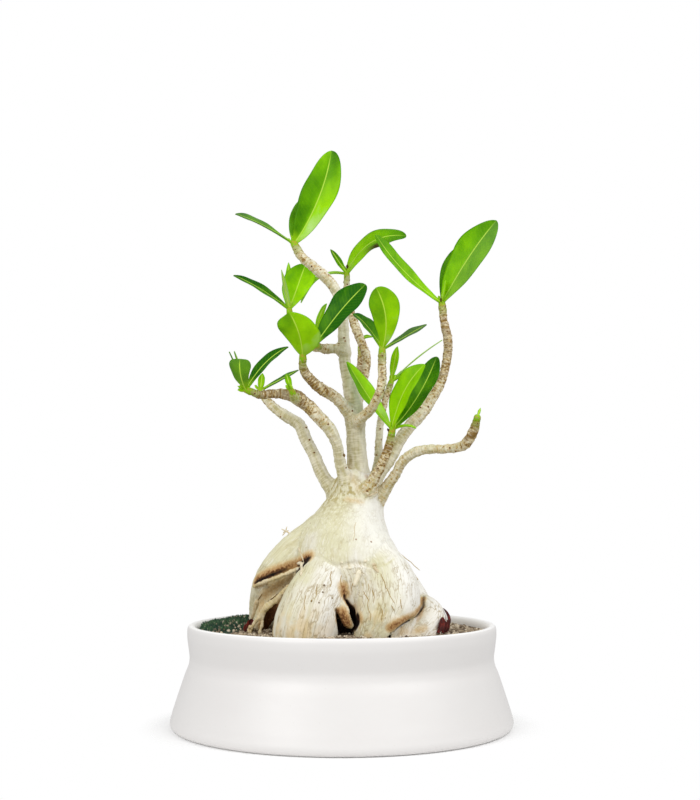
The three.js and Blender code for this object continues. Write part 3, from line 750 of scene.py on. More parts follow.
def crack_lines(tree, flow_in, girth_in):
    """A net of fine cracks along the caudex, from 0 to 1."""
    bend = stretched_noise(tree, flow_in, (3.0, 3.0, 7.0), 3.0).outputs["Color"]
    bent = add(tree, "ShaderNodeVectorMath", {0: bend, "Scale": CRACK_BEND}, operation="SCALE")
    bent = add(tree, "ShaderNodeVectorMath", {0: flow_in, 1: bent}, operation="ADD")
    cell = [1 / CRACK_WIDTH, 1 / CRACK_WIDTH, 1 / CRACK_LENGTH]
    scaled = add(tree, "ShaderNodeVectorMath", {0: bent, 1: cell}, operation="MULTIPLY")
    net = add(tree, "ShaderNodeTexVoronoi", {"Vector": scaled, "Scale": 1.0}, feature="DISTANCE_TO_EDGE")
    line = add(tree, "ShaderNodeMapRange", {0: net, 1: 0.01, 2: 0.13, 3: 1.0, 4: 0.0}, **EASE)
    broken = noise_mask(tree, flow_in, (5.0, 5.0, 9.0), 3.0, 0.38, 0.62)
    thick = add(tree, "ShaderNodeMapRange", {0: girth_in, 1: 6.0, 2: 10.0})
    line = add(tree, "ShaderNodeMath", {0: line, 1: broken}, operation="MULTIPLY")
    return add(tree, "ShaderNodeMath", {0: line, 1: thick}, operation="MULTIPLY")


def ring_bands(tree, flow_in, girth_in):
    """Rings round the branches, from 0 to 1."""
    band = noise_mask(tree, flow_in, (RING_LENGTH, RING_LENGTH, RING_SPACING), 2.0, 0.42, 0.6)
    thin = add(tree, "ShaderNodeMapRange", {0: girth_in, 1: 6.0, 2: 9.0, 3: 1.0, 4: 0.0})
    return add(tree, "ShaderNodeMath", {0: band, 1: thin}, operation="MULTIPLY")


# %% [markdown]
# Every material is put together by the same few helpers. One starts it, two give places in mm,
# one lays colours over one another, and one links the colour and its bumps to the shader.

# %% Material helpers
def start_material(name, roughness, specular=0.5):
    """A new material, its node tree and its shader."""
    made = bpy.data.materials.new(name)
    made.use_nodes = True
    shader = made.node_tree.nodes["Principled BSDF"]
    shader.inputs["Roughness"].default_value = roughness
    shader.inputs["Specular IOR Level"].default_value = specular
    return made, made.node_tree, shader


def in_mm(tree, place):
    """A place or a vector in mm."""
    return add(tree, "ShaderNodeVectorMath", {0: place, "Scale": 1 / MM}, operation="SCALE")


def object_mm(tree):
    """Object coordinates in mm."""
    return in_mm(tree, add(tree, "ShaderNodeTexCoord").outputs["Object"])


def coats(tree, under, layers):
    """Colours laid over one another in turn, each as far as the product of its masks says."""
    for colour, mask, *limits in layers:
        for limit in limits:
            mask = add(tree, "ShaderNodeMath", {0: mask, 1: limit}, operation="MULTIPLY")
        under = add(tree, "ShaderNodeMix", {0: mask, 6: under, 7: colour}, data_type="RGBA")
    return under


def skin(tree, shader, tone, height, strength, depth):
    """Links a colour to the shader, and a height as fine bumps of a depth in mm."""
    tree.links.new(tone.outputs[2], shader.inputs["Base Color"])
    bump = add(tree, "ShaderNodeBump", {"Strength": strength, "Distance": depth * MM, "Height": height})
    tree.links.new(bump.outputs[0], shader.inputs["Normal"])


# %% [markdown]
# The bark of a desert rose is thin and pale, like parchment over a potato. On the caudex it
# is cream with darker cracks and straw-coloured patches. On the branches it is straw-coloured
# with paler rings, and it turns ochre and then green towards each tip. Ochre stains lie on lips
# and undersides and darken into painted shade at the creases, the creases and hollows carry
# painted shade, and the upper right side is painted lighter, as a painted highlight. The
# material has one layer for each of these, from broad tones to fine grain.

# %% Bark colours
BARK_BROAD = 24.0
BARK_GRAIN = 0.5
BELT = (86.0, 108.0)
NECK = (126.0, 146.0)
SOIL_LINE = 61.0
LOW_BARK = 28.0
CRACKS_FADE = (98.0, 106.0)
PORE_CELL = 9.0
RING_SHADE = 0.3


def caudex_tone(tree, flow_in, place, height, painted_light_side):
    """Cream, yellower above, with streaks and flecks along the grain, ochre blots low down and a painted
    highlight on the lit side.
    """
    belt = add(tree, "ShaderNodeMapRange", {0: height, 1: BELT[0], 2: BELT[1], 3: -0.06, 4: 0.1}, **EASE)
    broad = stretched_noise(tree, place, (BARK_BROAD, BARK_BROAD, BARK_BROAD * 1.5), 3.0)
    broad = add(tree, "ShaderNodeMath", {0: broad, 1: belt}, operation="ADD")
    broad = add(tree, "ShaderNodeMapRange", {0: broad, 1: 0.4, 2: 0.62}, **EASE)
    streaks = noise_mask(tree, flow_in, (2.2, 2.2, 26), 4.0, 0.44, 0.7, 0.6)
    flecks = noise_mask(tree, flow_in, (0.8, 0.8, 8), 3.0, 0.5, 0.74, 0.55)
    neck = add(tree, "ShaderNodeMapRange", {0: height, 1: NECK[0], 2: NECK[1], 4: 0.9}, **EASE)
    patches = noise_mask(tree, place, (3.0, 3.0, 4), 4.0, 0.44, 0.6)
    low = {0: height, 1: SOIL_LINE, 2: SOIL_LINE + LOW_BARK, 3: 0.62, 4: 0.0}
    low = add(tree, "ShaderNodeMapRange", low, **EASE)
    blots = noise_mask(tree, flow_in, (5, 5, 12), 4.0, 0.42, 0.64)
    return coats(tree, "#E4E0D0", [
        ("#DAD6B4", broad), ("#C6BD94", streaks), ("#F3F1E6", flecks), ("#AD9E66", patches, neck),
        ("#E0C48C", blots, low), ("#FAF9F4", painted_light_side)])


def twig_tone(tree, read, flow_in, painted_light_side):
    """Straw with paler rings, speckled with ochre where the branch is warm, green at its tip, and painted
    lighter on the lit side.
    """
    pale = noise_mask(tree, flow_in, (2.2, 2.2, 12), 4.0, 0.35, 0.65)
    rings = ring_bands(tree, flow_in, read["girth"])
    gaps = add(tree, "ShaderNodeMath", {0: rings, 1: -RING_SHADE, 2: RING_SHADE}, operation="MULTIPLY_ADD")
    clouds = stretched_noise(tree, flow_in, (3.5, 3.5, 6))
    level = add(tree, "ShaderNodeMath", {0: read["warmth"], 1: -0.55, 2: 0.95}, operation="MULTIPLY_ADD")
    level = add(tree, "ShaderNodeMath", {0: clouds, 1: -0.4, 2: level}, operation="MULTIPLY_ADD")
    speckle = stretched_noise(tree, flow_in, (1.7, 1.7, 1.3), 4.0)
    above = add(tree, "ShaderNodeMath", {0: speckle, 1: level}, operation="SUBTRACT")
    ochre = add(tree, "ShaderNodeMapRange", {0: above, 1: -0.08, 2: 0.11, 4: 0.7}, **EASE)
    brown = add(tree, "ShaderNodeMapRange", {0: above, 1: 0.07, 2: 0.17, 4: 0.9}, **EASE)
    green = add(tree, "ShaderNodeMapRange", {0: read["tip"], 1: 9.0, 2: 1.0, 4: 0.6}, **EASE)
    return coats(tree, "#BEB686", [
        ("#E4DEC4", pale), ("#A29568", gaps), ("#F6F4EA", painted_light_side, 0.6), ("#C29F55", ochre),
        ("#7A5A20", brown), ("#E9E2C8", rings, 0.35), ("#8FA43A", green)])


# %% Bark material
def bark_material():
    """Parchment-like bark: cream caudex, straw branches, ochre stains, painted shade and a painted
    highlight.
    """
    made, tree, shader = start_material("parchment bark", 0.8, 0.25)
    read = {key: add(tree, "ShaderNodeAttribute", attribute_name=key).outputs["Fac"]
            for key in ("girth", "tip", "shade", "stain", "dark", "warmth", "sunny")}
    flow_in = add(tree, "ShaderNodeAttribute", attribute_name="flow").outputs["Vector"]
    place = object_mm(tree)
    height = add(tree, "ShaderNodeSeparateXYZ", {0: place}).outputs[2]
    # Painted highlight: the side that faces the upper right is painted lighter.
    painted_light_side = add(tree, "ShaderNodeMapRange", {0: read["sunny"], 1: 0.4, 2: 0.95, 4: 0.8}, **EASE)
    branch = add(tree, "ShaderNodeMapRange", {0: read["girth"], 1: 11.0, 2: 6.0}, **EASE)
    tone = caudex_tone(tree, flow_in, place, height, painted_light_side)
    layers = [(twig_tone(tree, read, flow_in, painted_light_side), branch)]

    deep = {0: height, 1: CRACKS_FADE[0], 2: CRACKS_FADE[1], 3: 0.62, 4: 0.2}
    deep = add(tree, "ShaderNodeMapRange", deep, **EASE)
    lines = crack_lines(tree, flow_in, read["girth"])
    pores = add(tree, "ShaderNodeTexVoronoi", {"Vector": place, "Scale": 1 / PORE_CELL})
    pore = {0: pores.outputs["Distance"], 1: 0.04, 2: 0.1, 3: 0.8, 4: 0.0}
    pore = add(tree, "ShaderNodeMapRange", pore, **EASE)
    few = add(tree, "ShaderNodeSeparateColor", {0: pores.outputs["Color"]})
    few = add(tree, "ShaderNodeMath", {0: few, 1: 0.75}, operation="GREATER_THAN")
    layers += [("#A28C5C", lines, deep), ("#8A5A2C", pore, few)]

    rough = stretched_noise(tree, place, (1.1, 1.1, 1.5), 5.0)
    rough = add(tree, "ShaderNodeMapRange", {0: rough, 1: 0.3, 2: 0.68, 3: 0.75, 4: 1.18})
    stain = add(tree, "ShaderNodeMath", {0: read["stain"], 1: rough}, operation="MULTIPLY")
    # Stains in three steps from light ochre to dark brown; the darker steps next to creases and under lips
    # are painted shade.
    for colour, low, high, strength in (
            ("#D3B681", 0.04, 0.55, 0.85), ("#A3713C", 0.32, 0.85, 0.85), ("#522A10", 0.68, 1.0, 0.9)):
        mask = add(tree, "ShaderNodeMapRange", {0: stain, 1: low, 2: high, 4: strength}, **EASE)
        layers.append((colour, mask))
    # Painted shade: creases are painted brown, less on the branches, and the carved hollows and slits
    # near-black, mottled a little.
    less = add(tree, "ShaderNodeMath", {0: branch, 1: -0.75, 2: 1.0}, operation="MULTIPLY_ADD")
    painted_crease_shade = add(tree, "ShaderNodeMapRange", {0: read["shade"], 1: 0.36, 2: 0.72, 4: 0.55}, **EASE)
    deep_shade_mottle = noise_mask(tree, place, (2.0, 2.0, 4.0), 4.0, 0.42, 0.64, 0.9)
    painted_deep_shade = coats(tree, "#0A0301", [("#3B1E10", deep_shade_mottle)])
    tone = coats(tree, tone, [*layers, ("#BE9660", painted_crease_shade, less), (painted_deep_shade, read["dark"])])

    grain = stretched_noise(tree, place, (BARK_GRAIN, BARK_GRAIN, BARK_GRAIN * 1.6), 3.0)
    fine = stretched_noise(tree, flow_in, (0.7, 0.7, 5), 3.0)
    bumps = add(tree, "ShaderNodeMath", {0: fine, 1: 1.6, 2: grain}, operation="MULTIPLY_ADD")
    skin(tree, shader, tone, bumps, 0.6, 0.35)
    return made


bark = bark_material()
print("bark has", len(bark.node_tree.nodes), "nodes")

# %% [markdown]
# The relief moves every point along its normal. Broad lumps keep the caudex from looking
# turned, ripples follow its grain, cracks cut in, and on the branches rings and small knobs
# stand out. The node group has a named input for the height of each, so they can be tried one
# by one.

# %% Relief by geometry nodes
RELIEF = {"Lumps": 1.6, "Ripples": 0.7, "Cracks": -0.3, "Rings": 0.22, "Knobs": 1.3, "Bark": bark}


def both_ways(tree, vector, size, detail):
    """Noise round zero, which moves points out and in."""
    noise = stretched_noise(tree, vector, size, detail)
    return add(tree, "ShaderNodeMath", {0: noise, 1: 0.5}, operation="SUBTRACT")


relief, given = new_group("bark_relief", RELIEF)
flow_in = add(relief, "GeometryNodeInputNamedAttribute", {"Name": "flow"}, data_type="FLOAT_VECTOR")
girth_in = add(relief, "GeometryNodeInputNamedAttribute", {"Name": "girth"}, data_type="FLOAT")
place = in_mm(relief, add(relief, "GeometryNodeInputPosition"))
thick = add(relief, "ShaderNodeMapRange", {0: girth_in, 1: 3.0, 2: 14.0, 3: 0.12, 4: 1.0})
thin = add(relief, "ShaderNodeMapRange", {0: girth_in, 1: 4.0, 2: 9.0, 3: 1.0, 4: 0.0})
lumps = both_ways(relief, place, (15, 15, 21), 1.5)
ripples = both_ways(relief, flow_in, (3.4, 3.4, 22), 3.0)
knobs = both_ways(relief, place, (2.6, 2.6, 2.6), 1.0)
rings = ring_bands(relief, flow_in, girth_in)
patterns = {
    "Lumps": add(relief, "ShaderNodeMath", {0: lumps, 1: thick}, operation="MULTIPLY"),
    "Ripples": add(relief, "ShaderNodeMath", {0: ripples, 1: thick}, operation="MULTIPLY"),
    "Cracks": crack_lines(relief, flow_in, girth_in),
    "Rings": add(relief, "ShaderNodeMath", {0: rings, 1: 0.5}, operation="SUBTRACT"),
    "Knobs": add(relief, "ShaderNodeMath", {0: knobs, 1: thin}, operation="MULTIPLY")}
height = 0.0
for name, pattern in patterns.items():
    height = add(relief, "ShaderNodeMath", {0: pattern, 1: given[name], 2: height}, operation="MULTIPLY_ADD")
height = add(relief, "ShaderNodeMath", {0: height, 1: MM}, operation="MULTIPLY")
normal_in = add(relief, "GeometryNodeInputNormal")
push = add(relief, "ShaderNodeVectorMath", {0: normal_in, "Scale": height}, operation="SCALE")
moved = add(relief, "GeometryNodeSetPosition", {"Geometry": given["Geometry"], "Offset": push})
finish_tree(relief, moved, given["Bark"])
wood_fine = node_result(wood, relief, RELIEF, "wood_fine")

# %% [markdown]
# One mesh of this size is heavy to carry, so it is cut level at two heights into three closed
# pieces: the legs, the crown of the caudex and the branches. A flat cap closes each cut, inside
# the wood. Its rim is marked sharp, so the shading of the bark runs on from piece to piece.

# %% Cut the wood into three closed pieces
WOOD_CUTS = {"caudex_legs": (0.0, 84.0), "caudex_crown": (84.0, 152.0), "branches": (152.0, 400.0)}


def level_slice(source, name, low, high):
    """The part of a closed mesh between two heights in mm, closed again by flat caps."""
    work = bmesh.new()
    work.from_mesh(source.data)
    for height, up in ((low, -1), (high, 1)):
        everything = work.verts[:] + work.edges[:] + work.faces[:]
        bmesh.ops.bisect_plane(work, geom=everything, clear_outer=True,
                               plane_co=(0, 0, height * MM), plane_no=(0, 0, up))
    rims = [edge for edge in work.edges if edge.is_boundary]
    for edge in rims:
        edge.smooth = False
    bmesh.ops.holes_fill(work, edges=rims, sides=0)
    mesh = bpy.data.meshes.new(name)
    work.to_mesh(mesh)
    work.free()
    mesh.materials.append(bark)
    made = bpy.data.objects.new(name, mesh)
    scene.collection.objects.link(made)
    triangles = sum(len(face.vertices) - 2 for face in mesh.polygons)
    print(name, "has", triangles, "triangles")
    return made


wood_tree = BVHTree.FromPolygons([v.co for v in wood_fine.data.vertices],
                                 [f.vertices for f in wood_fine.data.polygons])
wood_pieces = [level_slice(wood_fine, name, *heights) for name, heights in WOOD_CUTS.items()]

# %% [markdown]
# Where a leaf has dropped, it leaves a scar: a small corky cushion with a brown heart. Scars
# wind up each branch in a spiral, each turned by the golden angle from the last. They crowd near
# the tips, and most steps further down stay bare. A node group walks along the branches' middle
# lines, turns a ray out from each step, and sets a cushion where the ray meets the bark. The
# cushion itself has only a few dozen faces.

# %% The scar
SCAR_SIDES = 9
SCAR_RINGS = ((1.0, -0.35, 0.0), (0.86, 0.2, 0.0), (0.6, 0.3, 0.25), (0.38, 0.1, 1.0))
CUSHION_SQUASH = 0.25


def wall_faces(rows, sides):
    """The faces of a closed wall of rings of points, with a lid at both ends."""
    faces = []
    for row in range(rows - 1):
        for side in range(sides):
            a, b = row * sides + side, row * sides + (side + 1) % sides
            faces.append((a, b, b + sides, a + sides))
    return faces + [tuple(range(sides))[::-1], tuple(range((rows - 1) * sides, rows * sides))]


def cushion_object(name, rings, sides):
    """A small closed cushion made of rings of (radius, height, value)."""
    points, values = [], []
    for radius, height, value in rings:
        for side in range(sides):
            angle = 2 * math.pi * side / sides
            squash = 1 - CUSHION_SQUASH * max(0, math.sin(angle))
            points.append((radius * math.cos(angle), radius * squash * math.sin(angle), height))
            values.append(value)
    faces = wall_faces(len(rings), sides)
    made = new_object(name, np.array(points) / MM, faces, attributes={"heart": values})
    made.hide_render = True
    return made


def scar_material():
    """Cork: a tan rim round a brown heart."""
    made, tree, shader = start_material("leaf scar cork", 0.85, 0.25)
    heart = add(tree, "ShaderNodeAttribute", attribute_name="heart").outputs["Fac"]
    heart = add(tree, "ShaderNodeMapRange", {0: heart, 1: 0.05, 2: 0.5}, **EASE)
    noise = stretched_noise(tree, object_mm(tree), (6, 6, 6))
    tone = coats(tree, "#A8783E", [("#CDB588", noise), ("#3F200E", heart)])
    skin(tree, shader, tone, stretched_noise(tree, object_mm(tree), (0.3, 0.3, 0.3)), 0.3, 0.1)
    return made


scar_cork = scar_material()
scar = cushion_object("scar", SCAR_RINGS, SCAR_SIDES)
print("scar has", len(scar.data.polygons), "faces")

# %% The branches' middle lines
lines_points, lines_edges, lines_radius, lines_tip = [], [], [], []
for path, kind in limbs:
    if kind != "branch":
        continue
    run = travelled(path)
    first = len(lines_points)
    lines_points += path[:, :3].tolist()
    lines_radius += path[:, 3].tolist()
    lines_tip += (run[-1] - run).tolist()
    lines_edges += [(i, i + 1) for i in range(first, len(lines_points) - 1)]
middle_lines = new_object("middle_lines", lines_points, [], edges=lines_edges,
                          attributes={"limb_radius": lines_radius, "tip": lines_tip})
print("middle lines have", len(lines_points), "points")

# %% Leaf scars by geometry nodes
GOLDEN_ANGLE = math.radians(137.5)
RAY_START = 4.0
RAY_LENGTH = 8.0
SCARS = {"Spacing": 1.15 * MM, "Width": 0.66 * MM, "Least": 0.45, "Most": 1.3, "Bare share": 0.9,
         "Crowded length": 38.0, "Seed": 7, "Bark": wood_fine, "Scar": scar, "Cork": scar_cork}

scars, given = new_group("leaf_scars", SCARS)
curves = add(scars, "GeometryNodeMeshToCurve", {0: given["Geometry"]})
steps = add(scars, "GeometryNodeCurveToPoints", {"Curve": curves, "Length": given["Spacing"]}, mode="LENGTH")
number_in = add(scars, "GeometryNodeInputIndex")
turn = add(scars, "ShaderNodeMath", {0: number_in, 1: GOLDEN_ANGLE}, operation="MULTIPLY")
out = {"Vector": steps.outputs["Normal"], "Axis": steps.outputs["Tangent"], "Angle": turn}
out = add(scars, "ShaderNodeVectorRotate", out, rotation_type="AXIS_ANGLE")
radius = add(scars, "GeometryNodeInputNamedAttribute", {"Name": "limb_radius"}, data_type="FLOAT")
far = add(scars, "ShaderNodeMath", {0: radius, 1: MM, 2: RAY_START * MM}, operation="MULTIPLY_ADD")
start = add(scars, "ShaderNodeVectorMath", {0: out, "Scale": far}, operation="SCALE")
place = add(scars, "GeometryNodeInputPosition")
start = add(scars, "ShaderNodeVectorMath", {0: start, 1: place}, operation="ADD")
inward = add(scars, "ShaderNodeVectorMath", {0: out, "Scale": -1.0}, operation="SCALE")
bark_in = add(scars, "GeometryNodeObjectInfo", {0: given["Bark"]}, transform_space="RELATIVE")
hit = add(scars, "GeometryNodeRaycast", {
    "Target Geometry": bark_in.outputs["Geometry"], "Source Position": start,
    "Ray Direction": inward, "Ray Length": RAY_LENGTH * MM})

tip_in = add(scars, "GeometryNodeInputNamedAttribute", {"Name": "tip"}, data_type="FLOAT")
bare = {0: tip_in, 1: 0.0, 2: given["Crowded length"], 3: 0.0, 4: given["Bare share"]}
bare = add(scars, "ShaderNodeMapRange", bare)
draw = add(scars, "FunctionNodeRandomValue", {"Seed": given["Seed"]}, data_type="FLOAT")
kept = add(scars, "ShaderNodeMath", {0: draw.outputs[1], 1: bare}, operation="GREATER_THAN")
kept = add(scars, "FunctionNodeBooleanMath", {0: kept, 1: hit.outputs["Is Hit"]}, operation="AND")
seat = add(scars, "FunctionNodeAlignRotationToVector", {"Vector": hit.outputs["Hit Normal"]}, axis="Z")
seat = {"Rotation": seat, "Vector": steps.outputs["Tangent"]}
seat = add(scars, "FunctionNodeAlignRotationToVector", seat, axis="Y", pivot_axis="Z")
placed = steps.outputs["Points"]
for name, value, kind in (("seat", seat, "QUATERNION"), ("kept", kept, "BOOLEAN")):
    placed = {"Geometry": placed, "Name": name, "Value": value}
    placed = add(scars, "GeometryNodeStoreNamedAttribute", placed, data_type=kind)
placed = {"Geometry": placed, "Position": hit.outputs["Hit Position"]}
placed = add(scars, "GeometryNodeSetPosition", placed)
scar_in = add(scars, "GeometryNodeObjectInfo", {0: given["Scar"]}, transform_space="ORIGINAL")
size = {"Min": given["Least"], "Max": given["Most"], "Seed": given["Seed"], "ID": number_in}
size = add(scars, "FunctionNodeRandomValue", size, data_type="FLOAT")
size = add(scars, "ShaderNodeMath", {0: size.outputs[1], 1: given["Width"]}, operation="MULTIPLY")
copies = add(scars, "GeometryNodeInstanceOnPoints", {
    "Points": placed, "Instance": scar_in.outputs["Geometry"], "Scale": size,
    "Selection": add(scars, "GeometryNodeInputNamedAttribute", {"Name": "kept"}, data_type="BOOLEAN"),
    "Rotation": add(scars, "GeometryNodeInputNamedAttribute", {"Name": "seat"}, data_type="QUATERNION")})
finish_tree(scars, copies, given["Cork"])
leaf_scars = node_result(middle_lines, scars, SCARS, "leaf_scars")

# %% [markdown]
# A leaf of this shrub is leathery and glossy, broadest past its middle, with a pale midrib
# and a paler underside. It could be a flat card with a picture of a leaf on it, but then its
# outline, its fold and its thickness would be missing from every side but one. Here each leaf
# is a closed blade swept along a bowed midrib. Its stalk is round, its edges are thin and a
# little wavy, the midrib is a groove above and a ridge below, and each point stores how far it
# is from the midrib, so that the material can draw the veins.

# %% The leaf's measures
LEAF_ROWS = 30
LEAF_COLUMNS = 14
PETIOLE_WIDTH = 2.2
TIP_WIDTH = 0.5
TIP_CROWDING = 1.5
RIB_CROWDING = 1.15
BLADE_THICKNESS = 0.55
STALK_THICKNESS = 1.7
STALK_LENGTH = 7.0
EDGE_THICKNESS = 0.14
EDGE_UNEVEN = 0.03
EDGE_WAVES = 11
RUFFLES = 2.3
RUFFLE_SHIFT = 0.19
RUFFLE_START = 0.02
RIB_WIDTH = 0.9
RIB_HEIGHT = 0.75
GROOVE_DEPTH = 0.3
FOLD_BEND = 1.4
TONE_BEND = 1.3


LEAF = {"bow": (0, 0, 0), "widest": 0.55, "blunt": 0.65, "fold": 0.25, "wave": 0.035, "half": 0.0,
        "dull": 0.0, "burnt": (2.0, 3.0)}


def leaf(to, wide, face, tone, **more):
    """A leaf: where its end is, its width, where its upper side faces, its tone and the rest."""
    return {**LEAF, "to": to, "wide": wide, "face": face, "tone": tone, "end": tone, **more}


def halves(value):
    """Two values for a blade: for its left and right half, or for its foot and its tip."""
    return value if isinstance(value, tuple) else (value, value)


# %% The leaf blade
def blade_faces():
    """The faces of a blade and their slots: 0 for its upper side and its edges, 1 for its underside."""
    width = LEAF_COLUMNS + 1
    count = (LEAF_ROWS + 1) * width
    faces, slots = [], []
    for row in range(LEAF_ROWS):
        for column in range(LEAF_COLUMNS):
            a = row * width + column
            faces += [(a, a + 1, a + 1 + width, a + width),
                      (count + a, count + a + width, count + a + 1 + width, count + a + 1)]
            slots += [0, 1]
        left, right = row * width, row * width + LEAF_COLUMNS
        faces += [(left, left + width, count + left + width, count + left),
                  (right, count + right, count + right + width, right + width)]
        slots += [0, 0]
    for column in range(LEAF_COLUMNS):
        far = LEAF_ROWS * width + column
        faces += [(column, count + column, count + column + 1, column + 1),
                  (far, far + 1, count + far + 1, count + far)]
        slots += [0, 0]
    return faces, slots


def blade(foot, shape):
    """The points, faces, attributes and material slots of one leaf that grows from a foot."""
    foot = np.array(foot, float)
    chord = np.array(shape["to"], float) - foot
    bow = np.array(shape["bow"], float)
    face = unit(np.array(shape["face"], float))
    wide = shape["wide"]
    length = np.linalg.norm(chord)
    t = 1 - (1 - np.linspace(0, 1, LEAF_ROWS + 1)) ** TIP_CROWDING
    side = np.linspace(-1, 1, LEAF_COLUMNS + 1)
    side = (np.sign(side) * np.abs(side) ** RIB_CROWDING)[None, :]
    rib = foot + chord * t[:, None] + bow * (4 * t * (1 - t))[:, None]
    along = unit(chord + bow * (4 * (1 - 2 * t))[:, None])
    up = unit(face - along * (along @ face)[:, None])
    across = np.cross(along, up)
    swells = []
    for widest, blunt in zip(halves(shape["widest"]), halves(shape["blunt"])):
        skew = math.log(0.5) / math.log(widest)
        swells.append(np.sin(np.pi * t[:, None] ** skew) ** blunt)
    swell = np.where(side < 0, *swells)
    least = (PETIOLE_WIDTH + (TIP_WIDTH - PETIOLE_WIDTH) * np.minimum(1, 2 * t[:, None])) / 2
    uneven = 1 + EDGE_UNEVEN * np.sin(EDGE_WAVES * t[:, None] + 2 * np.sign(side) + shape["to"][0])
    half = np.maximum(np.minimum(least, wide / 2), wide / 2 * swell * uneven)
    stalk = np.exp(-(t * length / STALK_LENGTH) ** 2)[:, None]
    turns = RUFFLES * t[:, None] + RUFFLE_SHIFT * np.sign(side)
    ruffle = shape["wave"] * wide * np.sin(2 * np.pi * turns + RUFFLE_START * shape["to"][2])
    lift = shape["fold"] * half * np.abs(side) ** FOLD_BEND
    lift = lift + ruffle * np.abs(side) ** 2 * (1 - stalk) * swell
    offset = side * half
    full = BLADE_THICKNESS + (STALK_THICKNESS - BLADE_THICKNESS) * stalk
    round_off = np.abs(side) ** (6 - 4 * stalk)
    thick = full * np.sqrt(np.maximum(1 - round_off, 0)) + EDGE_THICKNESS
    ridge = np.exp(-(offset / RIB_WIDTH) ** 2) * (1 - stalk) * np.minimum(1, wide / 8)
    fade = 1 - t[:, None] ** 2
    top = lift + thick / 2 - GROOVE_DEPTH * ridge * fade
    low = lift - thick / 2 - RIB_HEIGHT * ridge * fade
    flat = rib[:, None, :] + across[:, None, :] * offset[..., None]
    layers = [flat + up[:, None, :] * level[..., None] for level in (top, low)]
    points = np.concatenate([layer.reshape(-1, 3) for layer in layers])
    tone = shape["tone"] + (shape["end"] - shape["tone"]) * t[:, None] ** TONE_BEND
    # Painted light and shade: one half of the blade is lighter than the other, as across a fold; tones above
    # 1 are painted as a sheen.
    at_foot, at_tip = halves(shape["half"])
    tone = tone + (at_foot + (at_tip - at_foot) * t[:, None] ** 2) * np.tanh(6 * side)
    first, last = shape["burnt"]
    burnt = np.clip(1 - np.abs(2 * t[:, None] - first - last) / (last - first), 0, 1)
    burnt = burnt * np.clip(3 * side - 0.9, 0, 1)
    kept = {"offset": offset, "along": t[:, None] * length, "edge": np.abs(side), "tone": tone,
            "reach": t[:, None], "dull": np.where(side < 0, *halves(shape["dull"])), "burnt": burnt}
    attributes = {name: np.tile(np.broadcast_to(values, flat.shape[:2]).ravel(), 2)
                  for name, values in kept.items()}
    faces, slots = blade_faces()
    return points, faces, attributes, slots
